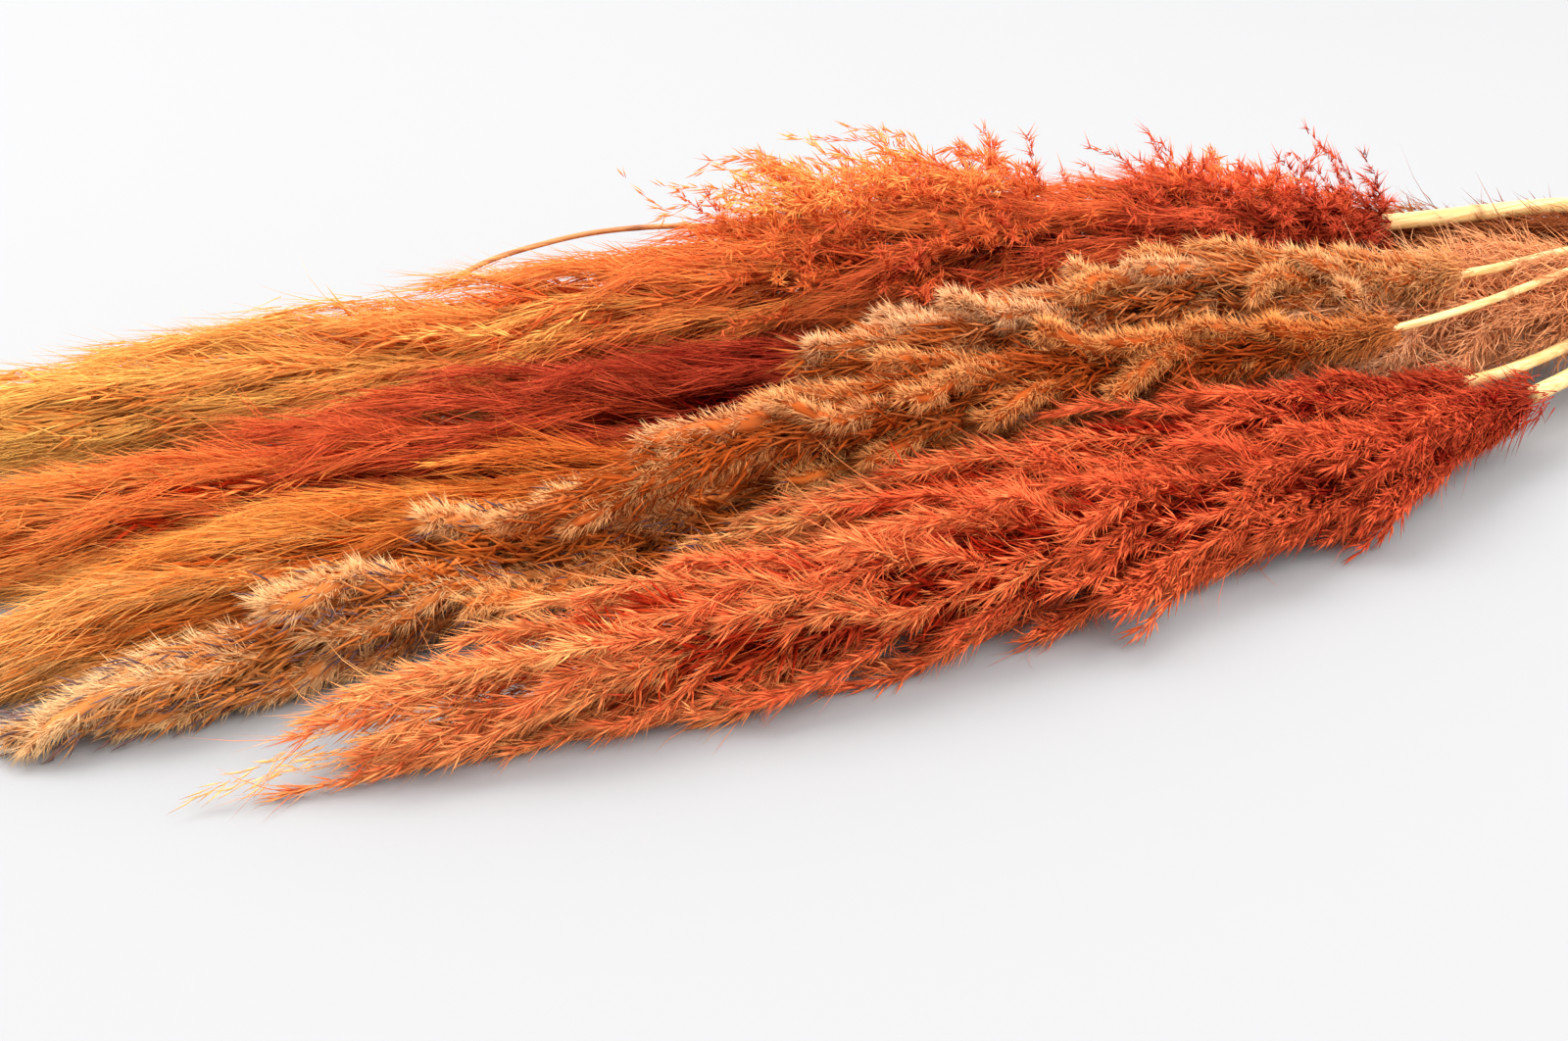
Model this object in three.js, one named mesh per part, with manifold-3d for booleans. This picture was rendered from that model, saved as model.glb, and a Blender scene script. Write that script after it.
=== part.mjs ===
// A tied bundle of dyed pampas grass lying on a table.
//
// Millimetres, +Z up. The bundle lies along X: the feathery tips point to -X and
// the cut stem ends to +X. Eleven reeds, each a stem and the plume it carries,
// run through one twine tie. The finished group is moved so that its origin is
// the middle of the bundle's bounding box, on the surface that it lies on.
import * as THREE from "three";
import { mergeVertices } from "three/addons/utils/BufferGeometryUtils.js";
import Module from "manifold-3d";

// ---------------------------------------------------------------- dimensions
const GAP = 1.2; // air between two neighbouring pieces
const BUTT_GAP = 0.3; // air where a stem's end meets the foot of its plume
const COLLAR_WALL = 1.2; // how far a plume's foot is wider than its stem

const TIE_X = 480; // where the twine holds the stems
const TWINE_DIAMETER = 2.4;
const TWINE_TURNS = 4;
const KNOT_LENGTH = 9;
const TAIL_LENGTH = 24; // each free end of the twine past the knot
const CUT_X = 620; // the mean place of the cut stem ends
const CUT_SPREAD = 1.35; // the stems fan out past the tie to this many times their spacing in it

const FAN = 1; // how widely the plumes fan out across the bundle
const FULLNESS = 1; // how thick the plumes are for their length

const STATION = 25; // spacing of the cross sections along X
const PLUME_SIDES = 12;
const STEM_SIDES = 8;
const STEM_STEP = 22; // spacing of the cross sections along a stem

const STALK_DIAMETER = 2;

// --------------------------------------------------------------------- reeds
// course: places along the middle of the reed, from the plume's tip to its foot.
// via: places that the bare stem passes on its way to the tie.
// wide and tall: the plume's full half width and half height.
// slot: the stem's place in the tie, in stem pitches across and rows up.
// cut: how far the stem's end is from CUT_X.
const REEDS = [
  {
    name: "front_rust",
    course: [[-215, -76, 4], [-135, -82, 14], [-25, -93, 18], [115, -95, 19], [250, -77, 20]],
    via: [],
    wide: 21, tall: 26, fullest: 0.45,
    stem: 6, slot: [-1.5, -1], cut: 12, colour: 0xc65b33,
  },
  {
    name: "front_inner",
    course: [[-58, -44, 24], [0, -56, 26], [60, -65, 29], [130, -70, 30], [225, -68, 26]],
    via: [],
    wide: 15, tall: 16, fullest: 0.5,
    stem: 4.5, slot: [-1, 0], cut: -20, colour: 0xb5502e,
  },
  {
    name: "tan_low",
    course: [[-250, -31, 4], [-185, -30, 13], [-97, -22, 16], [20, -26, 17], [150, -32, 18]],
    via: [],
    wide: 21, tall: 23, fullest: 0.5,
    stem: 4.5, slot: [-0.5, -1], cut: 28, colour: 0xb8824f,
  },
  {
    name: "tan_middle",
    course: [[-112, -30, 34], [-20, -34, 47], [81, -43, 49], [136, -49, 48], [200, -56, 46]],
    via: [[310, -41, 46]],
    wide: 19, tall: 17, fullest: 0.5,
    stem: 3, slot: [-0.5, 1], cut: -8, colour: 0xab7440,
  },
  {
    name: "tan_top",
    course: [[-2, 8, 50], [64, -9, 53], [154, -20, 57], [250, -36, 51]],
    via: [[319, -26, 46]],
    wide: 19, tall: 17, fullest: 0.55,
    stem: 3.5, slot: [0.5, 1], cut: -34, colour: 0xc58d52,
  },
  {
    name: "back_top",
    course: [[-300, 148, 20], [-183, 118, 34], [-63, 84, 45], [53, 60, 56], [162, 39, 60], [275, 25, 50]],
    via: [[369, 20, 44]],
    wide: 30, tall: 30, fullest: 0.62,
    stem: 6.5, slot: [1.5, 1], cut: 16, colour: 0xd8763c,
  },
  {
    name: "back_middle",
    course: [[-290, 84, 7], [-222, 72, 15], [-120, 50, 21], [-18, 38, 26], [150, 26, 30]],
    via: [[260, 21, 20]],
    wide: 26, tall: 26, fullest: 0.45,
    stem: 5, slot: [0.5, -1], cut: 6, colour: 0xcf6a35,
  },
  {
    name: "back_far",
    course: [[-292, 190, 6], [-190, 162, 16], [-80, 132, 19], [60, 102, 20], [200, 70, 20]],
    via: [],
    wide: 26, tall: 27, fullest: 0.5,
    stem: 5.5, slot: [1.5, -1], cut: -14, colour: 0xe08a45,
  },
  {
    name: "amber_left",
    course: [[-272, 0, 6], [-205, 12, 13], [-110, 12, 16], [50, 6, 17]],
    via: [],
    wide: 22, tall: 23, fullest: 0.45,
    stem: 4.5, slot: [0, 0], cut: -26, colour: 0xdb8644,
  },
  {
    name: "peach_right",
    course: [[105, -18, 24], [170, -24, 32], [240, -30, 36], [310, -32, 35], [400, -21, 30]],
    via: [],
    wide: 24, tall: 20, fullest: 0.45,
    stem: 4.5, slot: [-1.5, 1], cut: 22, colour: 0xc08a60,
  },
  {
    name: "brown_right",
    course: [[205, 50, 27], [260, 42, 31], [320, 26, 35], [370, 16, 31], [425, 7, 23]],
    via: [],
    wide: 20, tall: 19, fullest: 0.45,
    stem: 4.5, slot: [1, 0], cut: -4, colour: 0xa9764e,
  },
];

// A thin bare stalk that arches out of the back plume and down over its far side.
const STALK_COURSE = [[-66, 114, 58], [-40, 121, 62], [-5, 125, 63], [40, 112, 62], [75, 80, 61]];

const STRAW = 0xe2c084;
const TWINE = 0xb9996b;

const PITCH = Math.max(...REEDS.map((reed) => reed.stem)) + GAP;
const ROW = PITCH * Math.sin(Math.PI / 3); // rows of stems nest like stacked pipes
const TIE_INNER = Math.hypot(1.5 * PITCH, ROW) + PITCH / 2;
const TIE_OUTER = TIE_INNER + TWINE_DIAMETER;
const TIE_CENTRE = [0, TIE_OUTER]; // y and z: the tie's underside touches the table

// ------------------------------------------------------------------- courses

// A smooth line through points that are in order of x. y and z are cubic
// functions of x that never swing past the points: the slope at a point is the
// harmonic mean of the slopes beside it, and is flat where those turn or rest.
class Course extends THREE.Curve {
  constructor(points) {
    super();
    this.points = points.map((p) => new THREE.Vector3(...p));
    this.start = this.points[0].x;
    this.end = this.points[this.points.length - 1].x;
  }

  // The same line, begun at another x.
  from(x) {
    const rest = new Course(this.points.map((p) => p.toArray()));
    rest.start = x;
    return rest;
  }

  slope(i, key) {
    const last = this.points.length - 1;
    const chord = (j) => {
      const [a, b] = [this.points[j], this.points[j + 1]];
      return (b[key] - a[key]) / (b.x - a.x);
    };
    if (i === 0) return chord(0);
    if (i === last) return chord(last - 1);
    const [before, after] = [chord(i - 1), chord(i)];
    return before * after > 0 ? (2 * before * after) / (before + after) : 0;
  }

  at(x) {
    let i = 0;
    while (i < this.points.length - 2 && x > this.points[i + 1].x) i += 1;
    const [a, b] = [this.points[i], this.points[i + 1]];
    const span = b.x - a.x;
    const t = (x - a.x) / span;
    const blend = (key) =>
      (2 * t ** 3 - 3 * t ** 2 + 1) * a[key] +
      (t ** 3 - 2 * t ** 2 + t) * span * this.slope(i, key) +
      (3 * t ** 2 - 2 * t ** 3) * b[key] +
      (t ** 3 - t ** 2) * span * this.slope(i + 1, key);
    return new THREE.Vector3(x, blend("y"), blend("z"));
  }

  getPoint(t, target = new THREE.Vector3()) {
    return target.copy(this.at(THREE.MathUtils.lerp(this.start, this.end, t)));
  }
}

function slotPlace(reed, spread = 1) {
  const [across, row] = reed.slot;
  return [TIE_CENTRE[0] + across * PITCH * spread, TIE_CENTRE[1] + row * ROW * spread];
}

// A reed's whole line, from the tip of its plume to the cut end of its stem.
function reedLine(reed) {
  const place = slotPlace(reed);
  const end = slotPlace(reed, CUT_SPREAD);
  const lowest = reed.stem / 2 + GAP;
  return new Course([
    ...reed.course.map(([x, y, z]) => [x, y * FAN, z]),
    ...reed.via,
    [TIE_X - 15, ...place],
    [TIE_X + 15, ...place],
    [CUT_X + reed.cut, end[0], Math.max(end[1], lowest)],
  ]);
}

for (const reed of REEDS) {
  reed.line = reedLine(reed);
  reed.tip = reed.line.start;
  reed.foot = reed.course[reed.course.length - 1][0];
}

// ------------------------------------------------------------ cross sections

// How full a plume is at a share of its length from the tip: a long taper at the
// tip, fullest where the reed says, and a quicker close at the foot.
function fullness(reed, share) {
  const side = share < reed.fullest
    ? share / reed.fullest
    : (1 - share) / (1 - reed.fullest);
  return Math.sin((Math.PI / 2) * THREE.MathUtils.clamp(side, 0, 1)) ** 0.72;
}

// The reed's cross section at x: its middle, and either a plume's free half
// width and half height or a stem's radius. Null where the reed doesn't reach.
function sectionAt(reed, x) {
  const { line, tip, foot } = reed;
  if (x < tip - STATION || x > line.end) return null;
  if (x > foot) {
    const p = line.at(x);
    return { y: p.y, z: p.z, stem: reed.stem / 2 };
  }
  const inside = Math.max(x, tip);
  const p = line.at(inside);
  const full = fullness(reed, (inside - tip) / (foot - tip));
  const least = reed.stem / 2 + COLLAR_WALL;
  return {
    y: p.y,
    z: p.z,
    wide: Math.max(reed.wide * FULLNESS * full, least),
    tall: Math.max(reed.tall * FULLNESS * full, least),
  };
}

// How far an unpressed section reaches along the unit direction (dy, dz).
function freeReach(section, dy, dz) {
  if (section.stem) return section.stem;
  return 1 / Math.hypot(dy / section.wide, dz / section.tall);
}

// The same once the table and the other reeds press on it. Two plumes share the
// space between them in proportion to their size, and a plume gives way to a
// stem. Each limit is a straight wall, so the pressed section stays convex.
function pressedReach(reed, section, x, dy, dz) {
  let reach = freeReach(section, dy, dz);
  if (dz < 0) reach = Math.min(reach, section.z / -dz);
  for (const other of OBSTACLES) {
    const theirs = other === reed ? null : sectionAt(other, x);
    if (!theirs) continue;
    const apart = Math.hypot(theirs.y - section.y, theirs.z - section.z);
    const [ny, nz] = [(theirs.y - section.y) / apart, (theirs.z - section.z) / apart];
    const towards = dy * ny + dz * nz;
    if (towards <= 0) continue;
    const mine = freeReach(section, ny, nz);
    const wall = theirs.stem
      ? apart - theirs.stem - GAP
      : (apart * mine) / (mine + freeReach(theirs, ny, nz)) - GAP / 2;
    reach = Math.min(reach, wall / towards);
  }
  return reach;
}

// The bare stalk has no plume: it is a stem for its whole length.
const STALK = { line: new Course(STALK_COURSE), stem: STALK_DIAMETER };
STALK.tip = STALK.line.start;
STALK.foot = STALK.tip - 2 * STATION;
const OBSTACLES = [...REEDS, STALK];

// -------------------------------------------------------------------- pieces

// A plume: a lathed body whose rings are then moved to the reed's line and
// pressed into the section that the bundle leaves it. The foot is square to the
// line, so that the stem's end meets it flat.
function plumeGeometry(reed) {
  const { line, tip, foot } = reed;
  const rings = [new THREE.Vector2(0, tip)];
  const first = Math.floor(tip / STATION + 0.2) + 1;
  for (let x = first * STATION; x < foot - 0.2 * STATION; x += STATION) {
    rings.push(new THREE.Vector2(1, x));
  }
  rings.push(new THREE.Vector2(1, foot), new THREE.Vector2(0, foot));
  rings.reverse();
  const body = new THREE.LatheGeometry(rings, PLUME_SIDES);
  const along = line.from(foot).getTangent(0);
  const place = body.getAttribute("position");
  for (let i = 0; i < place.count; i += 1) {
    const [dy, x, dz] = [place.getX(i), place.getY(i), place.getZ(i)];
    const middle = line.at(x);
    if (Math.hypot(dy, dz) < 0.5) {
      place.setXYZ(i, x, middle.y, middle.z);
      continue;
    }
    const reach = pressedReach(reed, sectionAt(reed, x), x, dy, dz);
    const lean = x === foot ? (dy * along.y + dz * along.z) / along.x : 0;
    place.setXYZ(i, x - lean * reach, middle.y + dy * reach, middle.z + dz * reach);
  }
  return body;
}

function rodGeometry(course, diameter, spacing = STEM_STEP) {
  const steps = Math.ceil(course.getLength() / spacing);
  const section = new THREE.Shape();
  for (let i = 0; i < STEM_SIDES; i += 1) {
    const a = (2 * Math.PI * (i + 0.5)) / STEM_SIDES;
    const [x, y] = [(diameter / 2) * Math.cos(a), (diameter / 2) * Math.sin(a)];
    if (i) section.lineTo(x, y);
    else section.moveTo(x, y);
  }
  return new THREE.ExtrudeGeometry(section, { steps, curveSegments: 1, extrudePath: course });
}

// A stem starts just clear of its plume's foot.
function stemGeometry(reed) {
  return rodGeometry(reed.line.from(reed.foot + BUTT_GAP), reed.stem);
}

// A closed three.js geometry as a manifold-3d solid, and back.
function solidOf(geometry) {
  const bare = geometry.clone();
  for (const name of ["normal", "uv"]) bare.deleteAttribute(name);
  const merged = mergeVertices(bare, 1e-3);
  const mesh = new wasm.Mesh({
    numProp: 3,
    vertProperties: new Float32Array(merged.attributes.position.array),
    triVerts: new Uint32Array(merged.index.array),
  });
  return new wasm.Manifold(mesh);
}

function geometryOf(solid) {
  const { vertProperties, triVerts } = solid.getMesh();
  return new THREE.BufferGeometry()
    .setAttribute("position", new THREE.BufferAttribute(vertProperties, 3))
    .setIndex(new THREE.BufferAttribute(triVerts, 1));
}

// The twine: turns wound side by side round the stems, with a knot on top and
// two short ends that lie down over the turns.
function tieGeometry() {
  const radius = TWINE_DIAMETER / 2;
  const halfWidth = (TWINE_TURNS * TWINE_DIAMETER) / 2;
  const outline = [new THREE.Vector2(TIE_INNER, -halfWidth)];
  for (let turn = 0; turn < TWINE_TURNS; turn += 1) {
    const middle = -halfWidth + (turn + 0.5) * TWINE_DIAMETER;
    for (const angle of [-50, 0, 50].map(THREE.MathUtils.degToRad)) {
      outline.push(new THREE.Vector2(
        TIE_INNER + radius + radius * Math.cos(angle),
        middle + radius * Math.sin(angle),
      ));
    }
  }
  outline.push(new THREE.Vector2(TIE_INNER, halfWidth), outline[0].clone());
  const turns = new THREE.LatheGeometry(outline, 24).rotateZ(-Math.PI / 2);

  const top = TIE_OUTER - radius / 2;
  const knot = new THREE.SphereGeometry(1, 12, 8)
    .scale(KNOT_LENGTH / 2, KNOT_LENGTH / 2, TWINE_DIAMETER)
    .translate(0, 0, top + radius);
  const pieces = [solidOf(turns), solidOf(knot)];
  for (const side of [-1, 1]) {
    const drop = TAIL_LENGTH / 5;
    const tail = new THREE.CatmullRomCurve3([
      new THREE.Vector3(0, 0, top + radius),
      new THREE.Vector3(side * TAIL_LENGTH * 0.45, -TAIL_LENGTH * 0.25, top + radius * 2),
      new THREE.Vector3(side * TAIL_LENGTH * 0.85, -TAIL_LENGTH * 0.5, top - drop),
    ]);
    pieces.push(solidOf(rodGeometry(tail, TWINE_DIAMETER, 5)));
  }
  const tie = pieces.reduce((all, piece) => all.add(piece));
  return geometryOf(tie).translate(TIE_X, ...TIE_CENTRE);
}

// ------------------------------------------------------------------ assembly
const wasm = await Module();
wasm.setup();

function named(name, geometry, colour, roughness) {
  const finish = new THREE.MeshStandardMaterial({ color: colour, roughness, metalness: 0 });
  const mesh = new THREE.Mesh(geometry, finish);
  mesh.name = name;
  return mesh;
}

const bundle = new THREE.Group();
for (const reed of REEDS) {
  bundle.add(named(`plume_${reed.name}`, plumeGeometry(reed), reed.colour, 0.95));
  bundle.add(named(`stem_${reed.name}`, stemGeometry(reed), STRAW, 0.6));
}
bundle.add(named("bare_stalk", rodGeometry(STALK.line, STALK_DIAMETER), STRAW, 0.7));
bundle.add(named("twine_tie", tieGeometry(), TWINE, 0.9));

const box = new THREE.Box3().setFromObject(bundle);
const middle = box.getCenter(new THREE.Vector3());
bundle.position.set(-middle.x, -middle.y, -box.min.z);

const part = new THREE.Group();
part.add(bundle);

export default part;
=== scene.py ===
"""A tied bundle of dyed, dried pampas grass lying on a pale floor.

Every plume is grown inside the room that its CAD solid holds: branches run from the middle of the room to
its skin, and short fibres, husks and awns stand along the branches. Metres, +Z up, tips to -X.
"""
import logging
import math
from dataclasses import dataclass, replace
from enum import Enum

import bpy
import numpy as np
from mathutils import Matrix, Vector


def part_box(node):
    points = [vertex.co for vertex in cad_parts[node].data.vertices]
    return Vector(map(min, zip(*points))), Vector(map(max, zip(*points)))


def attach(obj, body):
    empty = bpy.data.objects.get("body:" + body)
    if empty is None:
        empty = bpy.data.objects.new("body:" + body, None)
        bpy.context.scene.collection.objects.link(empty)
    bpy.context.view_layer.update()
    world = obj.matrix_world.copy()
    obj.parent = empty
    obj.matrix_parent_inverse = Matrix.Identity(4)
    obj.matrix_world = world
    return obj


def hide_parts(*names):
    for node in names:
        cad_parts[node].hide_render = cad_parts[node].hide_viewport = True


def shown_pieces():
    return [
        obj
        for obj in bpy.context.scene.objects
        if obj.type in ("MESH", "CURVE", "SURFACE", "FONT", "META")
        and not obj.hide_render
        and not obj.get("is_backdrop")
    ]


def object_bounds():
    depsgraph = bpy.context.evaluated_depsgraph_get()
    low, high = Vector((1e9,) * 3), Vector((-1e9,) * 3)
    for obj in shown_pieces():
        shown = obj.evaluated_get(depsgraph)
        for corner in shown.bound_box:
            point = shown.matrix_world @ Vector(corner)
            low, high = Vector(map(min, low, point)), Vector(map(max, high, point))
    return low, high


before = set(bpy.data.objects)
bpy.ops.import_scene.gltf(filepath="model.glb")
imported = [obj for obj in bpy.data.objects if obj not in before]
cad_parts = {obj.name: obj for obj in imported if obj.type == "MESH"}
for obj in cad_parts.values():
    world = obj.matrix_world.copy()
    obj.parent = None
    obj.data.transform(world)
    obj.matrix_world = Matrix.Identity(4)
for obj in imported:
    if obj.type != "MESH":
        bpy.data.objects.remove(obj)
CAD_BOX = [list(corner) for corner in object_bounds()]

MM = 0.001
BODY = "root"
# The dye map's V is painted lightness: 0 takes a dye's painted-shade colour, 1 its painted-light colour.
DYE_AND_SHADE_MAP = "OFBake"  # the UV map whose U is a fibre's place in its dye, and V its lightness
MAP_EDGES = (0.01, 0.99)  # places on that map are held between these
CORNER = 0.004  # how far apart the corners of one fibre stand on that map
FLOOR_AIR = 0.3 * MM  # the least gap between a fibre or stem and the floor
LOOSE = np.array([32 * MM, 16 * MM, 11 * MM])  # how far fibres may reach past the solids, along each axis
LEAST_KEPT = 0.1  # share of its length that a fibre keeps, even where it has no room ahead
RING_GAP = 3 * MM  # the rings of a CAD solid stand further apart than this
TINY = 1e-12  # the least length that anything is divided by
ANY_PHASE = (0, 6.3)  # about one full turn of a wave

log = logging.getLogger("pampas_bundle")

Array = np.ndarray
Span = tuple[float, float]
Triple = tuple[float, float, float]
Colour = tuple[float, float, float, float]


# ------------------------------------------------------------------ arithmetic
def srgb(red: int, green: int, blue: int) -> Colour:
    """Turns a screen colour of 0 to 255 into the linear colour that shaders take.

    Args:
        red: Red, 0 to 255.
        green: Green, 0 to 255.
        blue: Blue, 0 to 255.

    Returns:
        Linear red, green, blue and an alpha of 1.
    """
    def linear(value: int) -> float:
        """Undoes the screen's curve for one channel."""
        share = value / 255
        return share / 12.92 if share <= 0.04045 else ((share + 0.055) / 1.055) ** 2.4

    return linear(red), linear(green), linear(blue), 1.0


def unit(vectors: Array) -> Array:
    """Scales each vector of the last axis to length one."""
    return vectors / np.maximum(np.linalg.norm(vectors, axis=-1, keepdims=True), TINY)


def within(rng: np.random.Generator, span: Span, shape: int | tuple[int, ...]) -> Array:
    """Draws evenly spread random values between the two ends of a span."""
    return rng.uniform(span[0], span[1], shape)


def between(low: Array, high: Array, share: Array) -> Array:
    """Gives the values that lie a share of the way from low to high."""
    return low * (1 - share) + high * share


def from_foot(ends: Span, along: Array) -> Array:
    """Gives the values at places along a plume, from those at its tip and at its foot."""
    return ends[1] + (ends[0] - ends[1]) * (1 - along)


def angles_round(count: int) -> Array:
    """Spreads angles evenly over one full turn, from 0 on."""
    return np.linspace(0, 2 * np.pi, count, endpoint=False)


def run_along(path: Array) -> Array:
    """Measures how far along a path each of its points is."""
    return np.concatenate([[0], np.cumsum(np.linalg.norm(np.diff(path, axis=0), axis=1))])


def on_dye_and_shade_map(dye: Array, light: Array) -> Array:
    """Pairs dyes and painted lightnesses, from painted shade to painted light, up as places on the dye and
    shade map.
    """
    return np.clip(np.stack([dye, light], axis=-1), *MAP_EDGES)


def smooth_rows(rows: Array, finer: int) -> Array:
    """Puts rows between the rows of a table, on Catmull-Rom curves through them.

    Args:
        rows: Table whose first axis is the way along.
        finer: How many steps each gap is divided into.

    Returns:
        The finer table, which still holds the given rows.
    """
    padded = np.concatenate([2 * rows[:1] - rows[1:2], rows, 2 * rows[-1:] - rows[-2:-1]])
    t = (np.arange(finer) / finer).reshape((-1,) + (1,) * (rows.ndim - 1))
    a, b, c, d = (padded[i:len(rows) - 1 + i, None] for i in range(4))
    fine = 0.5 * (2 * b + (c - a) * t + (2 * a - 5 * b + 4 * c - d) * t**2 + (3 * b - a - 3 * c + d) * t**3)
    return np.concatenate([fine.reshape((-1,) + rows.shape[1:]), rows[-1:]])


def node_rings(node: str) -> list[Array]:
    """Finds the rings of points that a CAD plume or stem is made of, in order of x.

    Args:
        node: Name of the CAD node.

    Returns:
        One array of points for each ring, without the point in its middle that closes a plume's end ring.
    """
    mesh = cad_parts[node].data
    points = np.empty(len(mesh.vertices) * 3)
    mesh.vertices.foreach_get("co", points)
    points = np.unique(points.reshape(-1, 3).round(6), axis=0)
    points = points[np.argsort(points[:, 0])]
    rings = np.split(points, np.flatnonzero(np.diff(points[:, 0]) > RING_GAP) + 1)

    def open_ring(ring: Array) -> Array:
        """Takes out the middle point of a ring that was closed by one.

        Args:
            ring: The ring's points, an odd number of them where it was closed.

        Returns:
            The points round its edge.
        """
        if len(ring) < 2 or len(ring) % 2 == 0:
            return ring
        off_centre = np.linalg.norm(ring - ring.mean(0), axis=1)
        return np.delete(ring, off_centre.argmin(), axis=0)

    return [open_ring(ring) for ring in rings]


# ---------------------------------------------------------------- plume's room
class Room:
    """The space that one plume fills, measured from its CAD solid, as a table of reaches.

    A place in the room is given by along (0 at the tip, 1 at the foot), turn (an angle round the middle line,
    0 toward +Y and a quarter turn toward +Z) and depth (0 on the middle line, 1 on the skin).
    """

    TURNS = 48  # columns of the table, one for each turn
    FINER = 4  # rows of the table for each ring of the solid
    FOOT = 0.8  # place along where the foot starts
    FOOT_REACH = 0.66  # least reach of the foot, as a share of the reach where it starts
    TIP = 0.1  # place along where the tip ends and the swell is full
    LEAST_REACH = 0.2 * MM
    RING = 3  # the fewest points of a ring; fewer of them are the plume's tip

    def __init__(self, node: str, swell: float = 0.0) -> None:
        """Measures the middle line and the reach at every turn from the node's rings.

        Args:
            node: Name of the plume's CAD node.
            swell: How far the loose fibres reach past the solid's skin.
        """
        rings = node_rings(node)
        middle = np.array([ring.mean(0) for ring in rings])
        angles = angles_round(self.TURNS)
        reach = np.zeros((len(rings), self.TURNS))
        for row, ring in enumerate(rings):
            if len(ring) < self.RING:
                continue
            off = ring - middle[row]
            reach[row] = np.interp(
                angles, np.arctan2(off[:, 2], off[:, 1]) % (2 * np.pi),
                np.hypot(off[:, 1], off[:, 2]), period=2 * np.pi,
            )
        self.middle = smooth_rows(middle, self.FINER)
        self.x = self.middle[:, 0]
        self.length = float(self.x[-1] - self.x[0])
        share = ((self.x - self.x[0]) / self.length)[:, None]
        fine = smooth_rows(reach, self.FINER)
        foot = self.FOOT_REACH * fine[np.searchsorted(share[:, 0], self.FOOT)]
        fine = np.where(share > self.FOOT, np.maximum(fine, foot), fine)
        self.reach = np.maximum(fine + swell * np.clip(share / self.TIP, 0, 1), self.LEAST_REACH)

    def axis(self, along: Array) -> Array:
        """Gives the middle line's points at the given places along."""
        x = self.x[0] + along * self.length
        return np.stack([x, *(np.interp(x, self.x, self.middle[:, k]) for k in (1, 2))], axis=-1)

    def reach_at(self, along: Array, turn: Array) -> Array:
        """Looks up how far the skin is from the middle line, between the table's rows and columns.

        Args:
            along: Places along the plume.
            turn: Angles round it, of the same shape.

        Returns:
            Distances in metres.
        """
        row = np.interp(self.x[0] + along * self.length, self.x, np.arange(len(self.x)))
        low = np.minimum(row.astype(int), len(self.x) - 2)
        column = (turn / (2 * np.pi) * self.TURNS) % self.TURNS
        left = column.astype(int) % self.TURNS
        right = (left + 1) % self.TURNS
        f, g = row - low, column - np.floor(column)
        near = between(self.reach[low, left], self.reach[low, right], g)
        far = between(self.reach[low + 1, left], self.reach[low + 1, right], g)
        return between(near, far, f)

    def place(self, along: Array, turn: Array, depth: Array) -> Array:
        """Turns places in the room into points.

        Args:
            along: Places along, 0 at the tip.
            turn: Angles round the middle line.
            depth: Shares of the way out to the skin.

        Returns:
            Points in metres, with one more axis than the arguments.
        """
        out = depth * self.reach_at(along, turn)
        offset = np.stack([np.zeros_like(out), out * np.cos(turn), out * np.sin(turn)], axis=-1)
        return self.axis(along) + offset


# ------------------------------------------------------------------ fibre mesh
class FibreShape(Enum):
    """Outline of a fibre: the stations along it, and its share of the full width at each.

    Every fibre ends in a point, and one whose first station isn't 0 starts in a point as well.
    """

    SPIKE = ((0.0,), (1.0,))
    HUSK = ((0.42,), (1.0,))
    STREAMER = ((0.0, 0.34, 0.68), (0.8, 1.0, 0.7))

    @property
    def pointed(self) -> bool:
        """Whether the fibre starts in a point."""
        return self.value[0][0] > 0

    @property
    def faces(self) -> int:
        """Number of triangles on one fibre."""
        return 6 * len(self.value[0]) - (0 if self.pointed else 2)


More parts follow.
